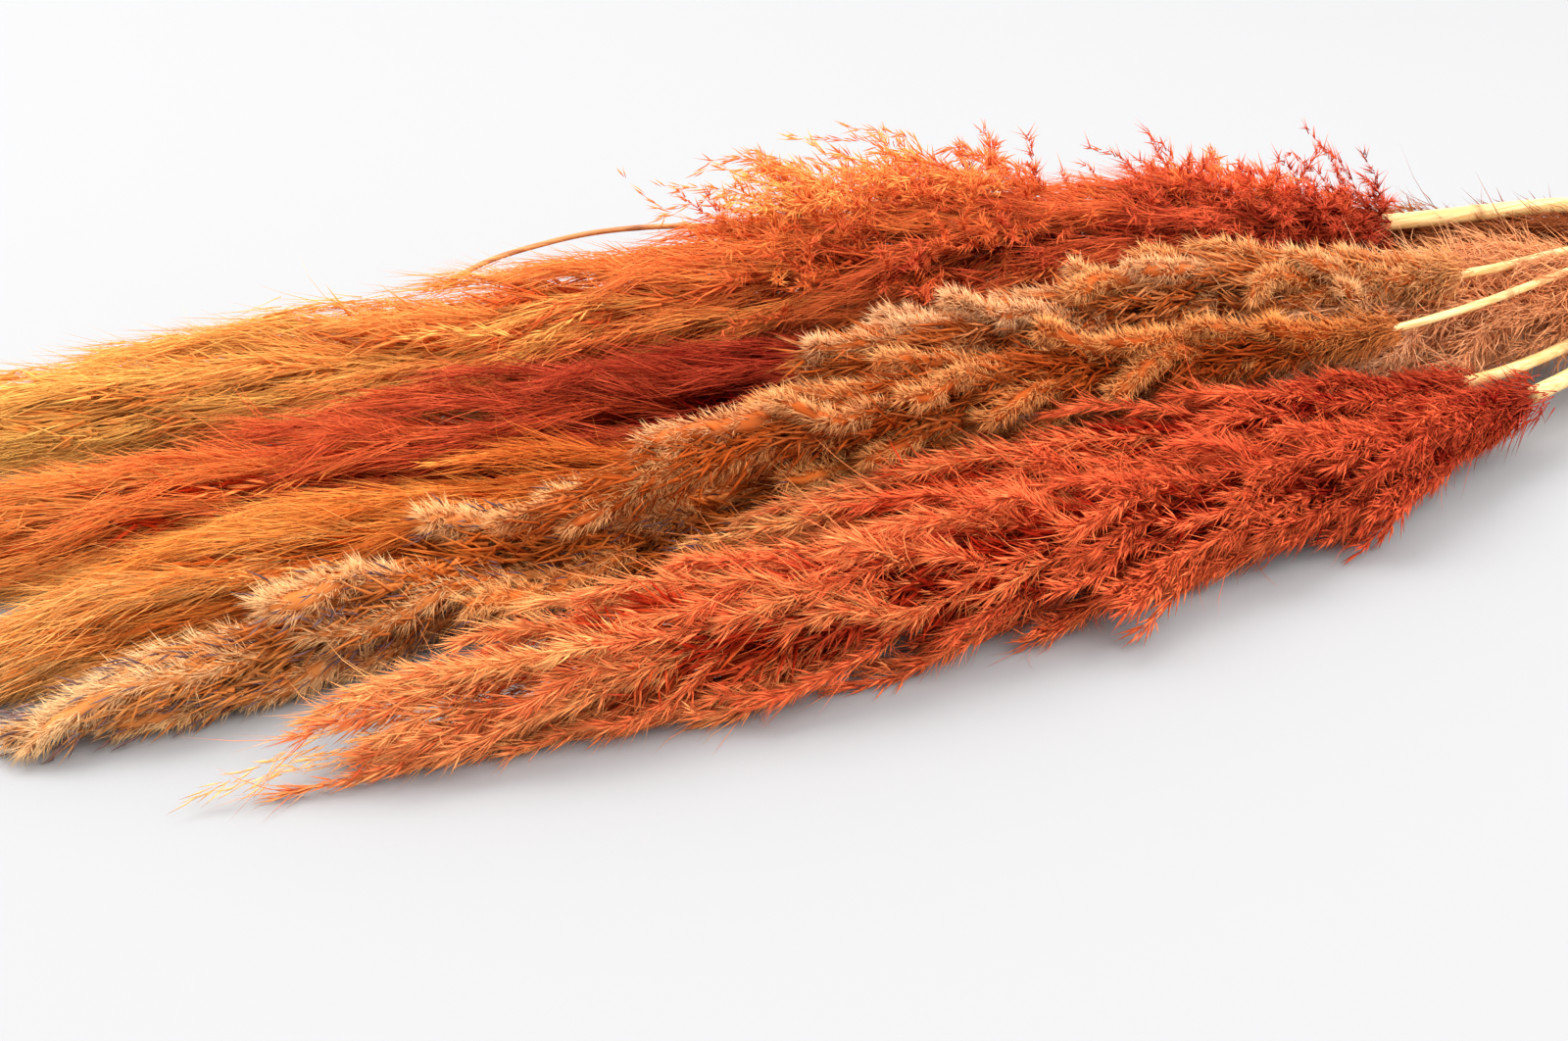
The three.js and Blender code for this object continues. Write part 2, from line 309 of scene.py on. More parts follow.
@dataclass
class Fibres:
    """Many fibres of one shape, as arrays with one row for each fibre.

    The root, aim, bend and length give a fibre's curve. The dye is its place in its finish's dyes, and the
    painted lightness, from painted shade to painted light, goes from the one at its root to the one at its
    tip.
    """

    root: Array
    aim: Array
    bend: Array
    length: Array
    width: Array
    dye: Array
    light_root: Array
    light_tip: Array
    shape: FibreShape = FibreShape.SPIKE

    def share(self, part: int, parts: int) -> "Fibres":
        """Gives one of several equal shares of the fibres."""
        rows = [values[part::parts] for values in vars(self).values() if isinstance(values, np.ndarray)]
        return Fibres(*rows, self.shape)

    def room_ahead(self, aim: Array) -> Array:
        """Finds how much of its length each fibre may keep without passing the loose fibres' bounds.

        Args:
            aim: The fibres' unit aims.

        Returns:
            A share for each fibre.
        """
        step = self.length[:, None] * (aim + self.bend)
        ahead = np.where(step > 0, CAD_BOX[1] + LOOSE - self.root, self.root - (CAD_BOX[0] - LOOSE))
        return np.clip(ahead / np.maximum(np.abs(step), TINY), LEAST_KEPT, 1).min(axis=1)

    def surface(self, rng: np.random.Generator) -> tuple[Array, Array, Array]:
        """Carries a three-sided outline along each fibre's curve.

        A point of the curve is root + length (t aim + t squared bend). At each station three corners stand
        round it, a third of a turn apart. The fibre closes in a point at t = 1, and in a point or a flat
        face at t = 0.

        Args:
            rng: Source of the turn of each fibre's corners.

        Returns:
            Points, triangles, and a place on the dye and shade map for each point.
        """
        stations, widths = (np.array(values) for values in self.shape.value)
        count, rings = len(self.root), len(stations)
        aim = unit(self.aim)
        length = self.length * self.room_ahead(aim)
        side = unit(np.cross(unit(rng.normal(size=(count, 3))), aim))
        lift = np.cross(aim, side)
        angle = angles_round(3)

        ends = [1.0, 0.0] if self.shape.pointed else [1.0]
        t = np.append(stations, ends)[None, :, None]
        line = self.root[:, None] + length[:, None, None] * (t * aim[:, None] + t**2 * self.bend[:, None])
        line[..., 2] = np.maximum(line[..., 2], FLOOR_AIR + self.width[:, None] / 2)
        spread = np.cos(angle)[:, None] * side[:, None] + np.sin(angle)[:, None] * lift[:, None]
        radius = self.width[:, None] / 2 * widths
        corners = line[:, :rings, None] + radius[:, :, None, None] * spread[:, None]
        points = np.concatenate([corners.reshape(count, rings * 3, 3), line[:, rings:]], axis=1)

        step = np.append(np.repeat(stations, 3), ends)
        across = np.append(np.tile([-1.0, 0.0, 1.0], rings), [0.0] * len(ends)) * CORNER
        up = np.append(np.tile([0.0, 1.0, 0.0], rings), [0.0, -1.0][:len(ends)]) * CORNER
        dye = self.dye[:, None] + across
        light = between(self.light_root[:, None], self.light_tip[:, None], step) + up

        j, k = np.arange(3), (np.arange(3) + 1) % 3
        pattern = [np.stack([k, j, np.full(3, 3 * rings + 1)], 1) if self.shape.pointed else [[0, 2, 1]]]
        for low in range(0, 3 * rings - 3, 3):
            high = low + 3
            pattern += [np.stack(corner, 1) for corner in ((low + j, low + k, high + k),
                                                           (low + j, high + k, high + j))]
        pattern.append(np.stack([3 * rings - 3 + j, 3 * rings - 3 + k, np.full(3, 3 * rings)], 1))
        pattern = np.concatenate(pattern)
        triangles = (pattern[None] + (np.arange(count) * points.shape[1])[:, None, None]).reshape(-1, 3)
        return points.reshape(-1, 3), triangles, on_dye_and_shade_map(dye, light).reshape(-1, 2)


def make_piece(name: str, points: Array, faces: Array, uv: Array | None = None) -> bpy.types.Object:
    """Makes a smooth mesh piece out of whole arrays.

    Args:
        name: Name of the piece.
        points: One row for each point, in metres.
        faces: One row of point numbers for each face, all with as many corners.
        uv: Place on the piece's own map for each point, if it has one.

    Returns:
        The new object, linked into the scene.
    """
    mesh = bpy.data.meshes.new(name)
    mesh.vertices.add(len(points))
    mesh.vertices.foreach_set("co", points.astype(np.float32).ravel())
    mesh.loops.add(faces.size)
    mesh.loops.foreach_set("vertex_index", faces.astype(np.int32).ravel())
    mesh.polygons.add(len(faces))
    mesh.polygons.foreach_set("loop_start", np.arange(0, faces.size, faces.shape[1], dtype=np.int32))
    mesh.update(calc_edges=True)
    mesh.shade_smooth()
    if uv is not None:
        layer = mesh.uv_layers.new(name=DYE_AND_SHADE_MAP)
        layer.uv.foreach_set("vector", uv[faces.ravel()].astype(np.float32).ravel())
    piece = bpy.data.objects.new(name, mesh)
    bpy.context.scene.collection.objects.link(piece)
    return piece


def dress(piece: bpy.types.Object, material: bpy.types.Material, node: str) -> None:
    """Gives a piece its material, hangs it on the body that it rides on, and hides the CAD node that it
    stands for.

    Args:
        piece: The new piece.
        material: Its material.
        node: Name of the CAD node that it stands for.
    """
    piece.data.materials.append(material)
    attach(piece, BODY)
    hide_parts(node)
    log.info("%s: %d faces", piece.name, len(piece.data.polygons))


# -------------------------------------------------------------------- finishes
class Nodes:
    """Small helper that adds nodes to one tree, with their settings and links."""

    def __init__(self, tree: bpy.types.NodeTree) -> None:
        """Keeps the tree."""
        self.tree = tree

    def add(self, kind: str, **settings: object) -> bpy.types.Node:
        """Adds a node and sets its properties.

        Args:
            kind: Blender's name of the node type. A leading ShaderNode is left out.
            settings: Properties to set on the node.

        Returns:
            The new node.
        """
        node = self.tree.nodes.new(kind if kind.startswith("Node") else f"ShaderNode{kind}")
        for key, value in settings.items():
            setattr(node, key, value)
        return node

    def link(self, source: bpy.types.NodeSocket, target: bpy.types.NodeSocket) -> None:
        """Links one socket to another."""
        self.tree.links.new(source, target)

    def mix(self, factor: bpy.types.NodeSocket, low: object, high: object) -> bpy.types.NodeSocket:
        """Blends two colours, each of them a socket or a plain colour.

        Args:
            factor: Share of the second colour.
            low: Colour where the factor is 0.
            high: Colour where the factor is 1.

        Returns:
            The blended colour's socket.
        """
        node = self.add("Mix", data_type="RGBA")
        self.link(factor, node.inputs["Factor"])
        for value, socket in ((low, node.inputs[6]), (high, node.inputs[7])):
            if isinstance(value, bpy.types.NodeSocket):
                self.link(value, socket)
            else:
                socket.default_value = value
        return node.outputs[2]

    def spread(self, value: bpy.types.NodeSocket, low: float, high: float) -> bpy.types.NodeSocket:
        """Stretches the values from low to high over 0 to 1 and holds them there.

        Args:
            value: The values.
            low: Value that becomes 0.
            high: Value that becomes 1.

        Returns:
            The stretched values' socket.
        """
        node = self.add("MapRange", clamp=True)
        self.link(value, node.inputs["Value"])
        node.inputs["From Min"].default_value = low
        node.inputs["From Max"].default_value = high
        return node.outputs["Result"]

    def noise(self, place: bpy.types.NodeSocket, scale: float, detail: float = 2.0) -> bpy.types.NodeSocket:
        """Adds a noise pattern.

        Args:
            place: Where the pattern is read.
            scale: How fine it is.
            detail: How rough it is.

        Returns:
            The pattern's socket.
        """
        node = self.add("TexNoise")
        node.inputs["Scale"].default_value = scale
        node.inputs["Detail"].default_value = detail
        self.link(place, node.inputs["Vector"])
        return node.outputs["Fac"]


def new_material(name: str, roughness: float) -> tuple[bpy.types.Material, bpy.types.Node]:
    """Makes a material and sets its roughness.

    Args:
        name: The material's name.
        roughness: How dull its surface is.

    Returns:
        The material and its Principled shader.
    """
    material = bpy.data.materials.new(name)
    material.use_nodes = True
    shader = material.node_tree.nodes["Principled BSDF"]
    shader.inputs["Roughness"].default_value = roughness
    return material, shader


# each dye's colour in painted shade and in painted light
DYE_AND_SHADE_INPUTS = [f"{light} {place}" for light in ("Shaded", "Lit") for place in ("Start", "Middle", "End")]


def dye_and_shade_group() -> bpy.types.NodeTree:
    """Builds the shared dye and painted shade effect: three dyes in painted shade and the same three in
    painted light, blended along U, and then by V, the painted lightness.

    Returns:
        The node group, with a Color output.
    """
    tree = bpy.data.node_groups.new("fibre_dye", "ShaderNodeTree")
    tree.interface.new_socket("Place", in_out="INPUT", socket_type="NodeSocketVector")
    for name in DYE_AND_SHADE_INPUTS:
        tree.interface.new_socket(name, in_out="INPUT", socket_type="NodeSocketColor")
    tree.interface.new_socket("Color", in_out="OUTPUT", socket_type="NodeSocketColor")
    nodes = Nodes(tree)
    given, result = nodes.add("NodeGroupInput"), nodes.add("NodeGroupOutput")
    parts = nodes.add("SeparateXYZ")
    nodes.link(given.outputs["Place"], parts.inputs[0])
    first = nodes.spread(parts.outputs["X"], 0.0, 0.5)
    second = nodes.spread(parts.outputs["X"], 0.5, 1.0)
    dyes = [given.outputs[name] for name in DYE_AND_SHADE_INPUTS]
    shaded, lit = (
        nodes.mix(second, nodes.mix(first, start, middle), end) for start, middle, end in (dyes[:3], dyes[3:])
    )
    nodes.link(nodes.mix(nodes.spread(parts.outputs["Y"], 0.0, 1.0), shaded, lit), result.inputs["Color"])
    return tree


@dataclass(frozen=True)
class DyeAndShadeFinish:
    """A dyed fibre's finish: three dyes, from the one at the foot of most plumes to the one at their tip.

    Each dye has two colours: a painted-shade colour, as it looks deep in the plume, and a painted-light
    colour at its lit ends.
    """

    name: str
    shaded: tuple[Colour, Colour, Colour]
    lit: tuple[Colour, Colour, Colour]
    roughness: float = 0.75
    specular: float = 0.08

    def material(self, group: bpy.types.NodeTree) -> bpy.types.Material:
        """Makes the finish's material.

        Args:
            group: The shared dye and painted shade effect.

        Returns:
            The material.
        """
        material, shader = new_material(self.name, self.roughness)
        nodes = Nodes(material.node_tree)
        dye = nodes.add("Group", node_tree=group)
        nodes.link(nodes.add("UVMap", uv_map=DYE_AND_SHADE_MAP).outputs["UV"], dye.inputs["Place"])
        for name, colour in zip(DYE_AND_SHADE_INPUTS, self.shaded + self.lit):
            dye.inputs[name].default_value = colour
        nodes.link(dye.outputs["Color"], shader.inputs["Base Color"])
        shader.inputs["Specular IOR Level"].default_value = self.specular
        return material


# Fibre finishes: shaded holds each dye's painted-shade colour, lit its painted-light colour.
FRONT_DYE_AND_SHADE = DyeAndShadeFinish(
    "front_plume_dye",
    shaded=(srgb(136, 12, 4), srgb(184, 40, 10), srgb(232, 112, 44)),
    lit=(srgb(244, 100, 60), srgb(255, 128, 74), srgb(255, 204, 126)),
)
TAN_DYE_AND_SHADE = DyeAndShadeFinish(
    "velvet_plume_dye",
    shaded=(srgb(148, 54, 8), srgb(176, 78, 20), srgb(194, 106, 46)),
    lit=(srgb(250, 158, 80), srgb(252, 184, 114), srgb(255, 222, 180)),
)
STRAW_DYE_AND_SHADE = DyeAndShadeFinish(
    "straw_plume_dye",
    shaded=(srgb(156, 62, 12), srgb(190, 92, 28), srgb(206, 128, 62)),
    lit=(srgb(250, 154, 74), srgb(255, 182, 106), srgb(255, 214, 158)),
)
ORANGE_DYE_AND_SHADE = DyeAndShadeFinish(
    "orange_plume_dye",
    shaded=(srgb(124, 4, 0), srgb(208, 56, 8), srgb(248, 118, 28)),
    lit=(srgb(248, 104, 66), srgb(255, 144, 74), srgb(255, 198, 104)),
)
AMBER_DYE_AND_SHADE = DyeAndShadeFinish(
    "amber_plume_dye",
    shaded=(srgb(176, 52, 8), srgb(214, 90, 20), srgb(232, 132, 44)),
    lit=(srgb(255, 144, 64), srgb(255, 174, 82), srgb(255, 214, 142)),
)
PEACH_DYE_AND_SHADE = DyeAndShadeFinish(
    "peach_plume_dye",
    shaded=(srgb(228, 126, 68), srgb(232, 140, 84), srgb(236, 154, 104)),
    lit=(srgb(234, 154, 98), srgb(240, 172, 120), srgb(248, 202, 160)),
)
BROWN_DYE_AND_SHADE = DyeAndShadeFinish(
    "brown_plume_dye",
    shaded=(srgb(134, 58, 22), srgb(148, 72, 32), srgb(164, 90, 48)),
    lit=(srgb(160, 88, 46), srgb(174, 104, 60), srgb(196, 132, 88)),
)
AWN_DYE_AND_SHADE = DyeAndShadeFinish(
    "dark_awn_dye",
    shaded=(srgb(74, 44, 48), srgb(84, 54, 58), srgb(104, 74, 72)),
    lit=(srgb(128, 92, 94), srgb(150, 114, 112), srgb(176, 142, 130)),
)


# ---------------------------------------------------------------------- plumes
BEFORE_END = 0.9999  # the last place on a branch that still has a point of the branch ahead of it
UP_A_BIT = np.array([0.0, 0.0, 0.01 * MM])  # gives a bud on the plume's middle line a way out, which is up


@dataclass
class Branches:
    """Branches of one plume as lines of points, with what each one hands to its fibres."""

    lines: Array
    depth: Array
    dye: Array
    light: Array
    middle: Array

    def sample(self, per_branch: int, rng: np.random.Generator, span: Span = (0.0, 1.0)) -> "Buds":
        """Spreads buds along every branch.

        Args:
            per_branch: How many buds each branch carries.
            rng: Source of the small shifts along it.
            span: The stretch of the branch that carries them.

        Returns:
            The buds, one row each.
        """
        count, steps = self.lines.shape[:2]
        share = (np.arange(per_branch) + rng.uniform(0, 1, (count, per_branch))) / per_branch
        t = span[0] + (span[1] - span[0]) * share
        at = np.minimum(t, BEFORE_END) * (steps - 1)
        low = at.astype(int)
        f = (at - low)[..., None]
        row = np.arange(count)[:, None]
        near, far = self.lines[row, low], self.lines[row, low + 1]
        here = between(near, far, f)
        middle = between(self.middle[row, low], self.middle[row, low + 1], f)
        depth = between(self.depth[row, low], self.depth[row, low + 1], f[..., 0])
        ways = (here, unit(far - near), unit(here - middle + UP_A_BIT))
        return Buds(
            *(points.reshape(-1, 3) for points in ways), t.ravel(), depth.ravel(),
            np.repeat(self.dye, per_branch), np.repeat(self.light, per_branch),
        )


@dataclass(frozen=True)
class FibreKind:
    """How one kind of fibre grows out of a bud, in tufts.

    A tuft opens from the branch by an angle in degrees, all round it where flatness is 0, or in two rows
    along its sides where flatness is 1. Its fibres stray from each other by splay and scatter. Each one
    bends toward the branch by curl, off the plume by lift, down by droop, and at random by wander, all as
    shares of its length. The dye is how far a fibre's dye lies from its branch's, and the light is the
    painted lightness, from painted shade to painted light, at its root and at its tip. The light strays by
    light_noise. The shelter is the painted shade on the branch's inner side, and the last field the painted
    light that a fibre gains along its branch toward the branch's tip.
    """

    shape: FibreShape
    length: Span
    width: Span
    opening: Span
    cluster: int = 3
    splay: float = 0.15
    scatter: float = 1.0 * MM
    flatness: float = 0.0
    curl: float = 0.2
    lift: float = 0.0
    droop: float = 0.0
    wander: float = 0.05
    dye: Span = (-0.08, 0.08)
    light: Span = (0.3, 0.85)
    light_noise: float = 0.14
    shelter: float = 0.12
    ripen: float = 0.1


# Painted shade by depth: fibres deeper than SKIN_DEPTH are darker, and those a little further out lighter.
SKIN_DEPTH = 0.7  # the depth in the plume where a fibre has its branch's own lightness
DEPTH_LIGHT = 0.5  # how fast the lightness grows with the depth
MOST_OUT = 0.2  # how far past that depth it still grows


@dataclass
class Buds:
    """Places on branches where fibres grow: the way along the branch, and the way out of the plume."""

    place: Array
    along: Array
    out: Array
    t: Array
    depth: Array
    dye: Array
    light: Array

    def fibres(self, rng: np.random.Generator, kind: FibreKind, stand: Array | float = 0.0) -> Fibres:
        """Grows a small tuft of fibres at each bud.

        A tuft's aim is cos(opening) along the branch plus sin(opening) in a direction round the branch. Its
        painted lightness falls, as painted shade, on the branch's inner side (shelter) and deep in the plume,
        and rises, as painted light, toward the branch's tip.

        Args:
            rng: Source of all the differences.
            kind: How the fibres grow.
            stand: How far from the branch's line they start.

        Returns:
            The fibres.
        """
        tufts = len(self.place)
        side = unit(np.cross(self.along, self.out))
        out = np.cross(side, self.along)
        turn = rng.uniform(-np.pi, np.pi, tufts)
        flat = np.where(np.cos(turn) > 0, 0.0, np.pi * np.sign(turn))
        turn = flat + (turn - flat) * (1 - kind.flatness)
        round_it = np.cos(turn)[:, None] * side + np.sin(turn)[:, None] * out
        angle = np.radians(within(rng, kind.opening, tufts))[:, None]
        aim = np.cos(angle) * self.along + np.sin(angle) * round_it
        bend = kind.curl * (self.along - aim) + kind.lift * self.out
        bend[:, 2] -= kind.droop
        # painted shade on the branch's inner side and deep in the plume, painted light toward the branch's
        # tip
        tone = self.light + rng.normal(scale=kind.light_noise, size=tufts) + kind.shelter * np.sin(turn)
        tone += kind.ripen * (self.t - 0.5) * 2 + DEPTH_LIGHT * np.minimum(self.depth - SKIN_DEPTH, MOST_OUT)
        foot = self.place + round_it * np.broadcast_to(stand, tufts)[:, None]

        count = tufts * kind.cluster
        given = (aim, bend, foot, self.along, tone, self.dye)
        aim, bend, root, way, tone, shade = (np.repeat(values, kind.cluster, axis=0) for values in given)
        aim = aim + rng.normal(scale=kind.splay, size=(count, 3))
        root = root + way * within(rng, (-kind.scatter, kind.scatter), count)[:, None]
        root = root + rng.normal(scale=kind.scatter * 0.3, size=(count, 3))
        bend = bend + rng.normal(scale=kind.wander, size=(count, 3))
        tone = tone + rng.normal(scale=kind.light_noise * 0.7, size=count)
        length, width = within(rng, kind.length, count), within(rng, kind.width, count)
        dye = shade + within(rng, kind.dye, count)
        return Fibres(
            root, aim, bend, length, width, dye, kind.light[0] + 0.5 * tone, kind.light[1] + tone, kind.shape,
        )


GOLDEN = 2.4  # turn from one branch to the next, in radians, as leaves stand round a stalk
TURN_STRAY = 0.4  # how far a branch strays from that turn, in radians
WAVE_TURN = (4, 8)  # how far a branch's wave turns from its root to its tip, in radians
STOP_SPREAD = (0.6, 2.2)  # a branch keeps this many times its stop away from the plume's tip
SHORTEST = 0.02  # the least length of a branch, as a share of the plume's
OUTER_SPREAD = (0.72, 1.0)  # the shares of the outer depth that branches reach
CLOSE_SHARE = 0.86  # the share of the branches that don't flare
DYED_AT = 0.6  # the place on a branch where its dye and lightness are taken
PIECE_FACES = 190_000  # the most triangles in one piece

# painted shade: the dark, broad fibres deep in each plume's core, which also close its gaps
SHADE = FibreKind(
    FibreShape.SPIKE, (9 * MM, 17 * MM), (1.0 * MM, 1.8 * MM), (4, 34), splay=0.2, light=(0.02, 0.16),
    light_noise=0.06, scatter=4 * MM, shelter=0.0, dye=(-0.2, 0.0),
)


@dataclass
class Plume:
    """What every plume has: its room, its branches and the fibres on them.

    The dye_ends and tone_ends are the dye and the painted lightness, from painted shade to painted light, at
    the tip and at the foot. The fill fields are for the dark branches in painted shade that close the plume's
    middle: how many, where they start, how deep they end, how much nearer to the tip they run than they
    start, their length, and the tufts on each. The collar is the loose hair round the foot, and collar_light
    its painted lightness at root and tip. No branch comes nearer to the floor than the clearance.
    """

    name: str
    finish: DyeAndShadeFinish
    slot: str
    seed: int
    dye_ends: Span = (1.0, 0.0)
    tone_ends: Span = (0.0, 0.0)
    swell: float = 0.0
    dye_noise: float = 0.08
    tone_noise: float = 0.12
    fill: int = 110
    fill_start: float = 0.14
    fill_depth: float = 0.55
    fill_run: float = 0.1
    fill_length: Span = (25 * MM, 50 * MM)
    fill_tufts: int = 12
    clearance: float = 2 * MM
    collar_hairs: int = 960
    collar_start: float = 0.9
    collar_depth: Span = (0.05, 0.7)
    collar_shift: Span = (-2 * MM, 7 * MM)
    collar_opening: Span = (0.15, 0.7)
    collar_length: Span = (8 * MM, 15 * MM)
    collar_width: Span = (0.4 * MM, 0.7 * MM)
    collar_light: Span = (0.25, 0.65)

    def __post_init__(self) -> None:
        """Measures the room and starts the plume's own random source."""
        self.room = Room(self.node, self.swell)
        self.rng = np.random.default_rng(self.seed)

    @property
    def node(self) -> str:
        """Name of the CAD node that the plume stands for."""
        return f"plume_{self.name}"

    def dye_at(self, along: Array) -> Array:
        """Gives the place in the dye at places along the plume."""
        return from_foot(self.dye_ends, along)

    def tone_at(self, along: Array) -> Array:
        """Gives the painted lightness of branches at places along the plume, with each one's own difference.
        """
        return from_foot(self.tone_ends, along) + self.rng.normal(scale=self.tone_noise, size=along.shape)

    def branches(self, count: int, start: Span, length: Span, depth: Span = (0.05, 1.0), rise: float = 1.6,
                 twist: float = 0.25, wave: float = 0.0, steps: int = 9, flare: float = 0.0,
                 stop: float = 0.004, turns: Span | None = None) -> Branches:
        """Runs branches from the middle of the room to its skin, toward the tip.

        The branches leave the middle line in even steps, each one a golden turn from the last. A branch's
        depth is d0 + (d1 - d0)(1 - (1 - t)^rise), so that it leaves the middle at once and then lies along
        the skin. Its turn drifts by twist and waves by wave.

        Args:
            count: How many branches.
            start: Where along the plume they leave it, from the tip (0) to the foot (1).
            length: Shortest and longest branch, in metres.
            depth: Depth at the branch's root, and at its tip.
            rise: How soon the branch reaches its outer depth.
            twist: Largest drift of its turn, in radians.
            wave: Size of the waves in its turn, in radians.
            steps: Points on each branch.
            flare: How much deeper than the rest the loosest branches end, past the skin.
            stop: How near to the plume's tip the branches end, more or less.
            turns: The angles that they leave at, where they don't stand all round.

        Returns:
            The branches.
        """
        rng, room = self.rng, self.room
        t = np.linspace(0, 1, steps)[None, :]
        begin = start[0] + (start[1] - start[0]) * (np.arange(count) + rng.uniform(0, 1, count)) / count
        bare = stop * within(rng, STOP_SPREAD, count)
        reach = np.minimum(within(rng, length, count) / room.length, np.maximum(begin - bare, SHORTEST))
        along = begin[:, None] - reach[:, None] * t
        turn = (np.arange(count) * GOLDEN + rng.normal(scale=TURN_STRAY, size=count))[:, None]
        if turns is not None:
            turn = within(rng, turns, count)[:, None]
        turn = turn + within(rng, (-twist, twist), count)[:, None] * t
        ripple = t * within(rng, WAVE_TURN, count)[:, None] + within(rng, ANY_PHASE, count)[:, None]
        turn = turn + wave * np.sin(ripple)
        outer = depth[1] * within(rng, OUTER_SPREAD, count)[:, None]
        outer = outer + flare * (rng.uniform(0, 1, count)[:, None] > CLOSE_SHARE)
        deep = depth[0] + (outer - depth[0]) * (1 - (1 - t) ** rise)
        dyed_at = begin - DYED_AT * reach
        dye = self.dye_at(dyed_at) + rng.normal(scale=self.dye_noise, size=count)
        lines = room.place(along, turn, deep)
        lines[..., 2] = np.maximum(lines[..., 2], self.clearance)
        tone = self.tone_at(dyed_at)
        return Branches(lines, np.broadcast_to(deep, along.shape), dye, tone, room.axis(along))

    def core(self) -> Fibres:
        """Fills the middle of the plume with broad fibres in painted shade, which close the gaps between its
        branches.

        Returns:
            The fibres.
        """
        inner = self.branches(self.fill, (self.fill_start, 1.0), self.fill_length, twist=0.6,
                              depth=(0.05, self.fill_depth), stop=self.fill_start - self.fill_run)
        return inner.sample(self.fill_tufts, self.rng).fibres(self.rng, SHADE)

    def collar(self) -> Fibres:
        """Wraps the plume's foot, and the start of its stem, in short loose fibres.

        Returns:
            Fibres that start round the last stretch of the middle line and stand out and toward the tip.
        """
        rng, count = self.rng, self.collar_hairs
        along, turn = rng.uniform(self.collar_start, 1.0, count), rng.uniform(0, 2 * np.pi, count)
        root = self.room.place(along, turn, within(rng, self.collar_depth, count))
        root[:, 0] += within(rng, self.collar_shift, count)
        out = unit(root - self.room.axis(along) + rng.normal(scale=0.1 * MM, size=(count, 3)))
        aim = out * within(rng, self.collar_opening, count)[:, None] + np.array([-1.0, 0.0, 0.0])
        tone = self.tone_at(along)
        bend = rng.normal(scale=0.15, size=(count, 3))
        length, width = within(rng, self.collar_length, count), within(rng, self.collar_width, count)
        dye = self.dye_at(along) + rng.normal(scale=0.1, size=count)
        light_root, light_tip = self.collar_light
        return Fibres(root, aim, bend, length, width, dye, light_root + 0.4 * tone, light_tip + tone)

    def add(self, label: str, fibres: Fibres, material: bpy.types.Material) -> None:
        """Makes pieces of this plume out of fibres, each of them small enough.

        Args:
            label: The piece's name after the plume's.
            fibres: The fibres.
            material: Their material.
        """
        parts = -(-len(fibres.root) * fibres.shape.faces // PIECE_FACES)
        for part in range(parts):
            name = f"{self.name}_{label}" + (f"_{part + 1}" if parts > 1 else "")
            piece = make_piece(name, *fibres.share(part, parts).surface(self.rng))
            dress(piece, material, self.node)

    def grow(self, group: bpy.types.NodeTree) -> bpy.types.Material:
        """Fills the plume's middle and foot. Each kind of plume then adds its own branches.

        Args:
            group: The shared dye and painted shade effect.

        Returns:
            The plume's material.
        """
        material = self.finish.material(group)
        self.add("core", self.core(), material)
        self.add("collar", self.collar(), material)
        return material


FLYAWAY = FibreKind(
    FibreShape.STREAMER, (11 * MM, 24 * MM), (0.2 * MM, 0.32 * MM), (4, 30), wander=0.35, lift=0.1,
    light=(0.4, 0.85), light_noise=0.2, dye=(-0.05, 0.15),
)
WISP_HUSK = FibreKind(
    FibreShape.HUSK, (5 * MM, 9 * MM), (0.4 * MM, 0.6 * MM), (8, 30), cluster=2, flatness=0.5,
    light=(0.5, 1.0), dye=(0.0, 0.2),
)
FEATHER_HUSK = FibreKind(
    FibreShape.HUSK, (6.5 * MM, 11.5 * MM), (0.5 * MM, 0.85 * MM), (10, 38), flatness=0.45, curl=0.25,
    light=(0.15, 0.85), light_noise=0.17, dye=(-0.12, 0.12),
)
FEATHER_HAIR = FibreKind(
    FibreShape.SPIKE, (7 * MM, 14 * MM), (0.24 * MM, 0.42 * MM), (6, 44), cluster=4, flatness=0.1,
    light=(0.35, 0.85), light_noise=0.18, splay=0.2, dye=(-0.05, 0.2),
)


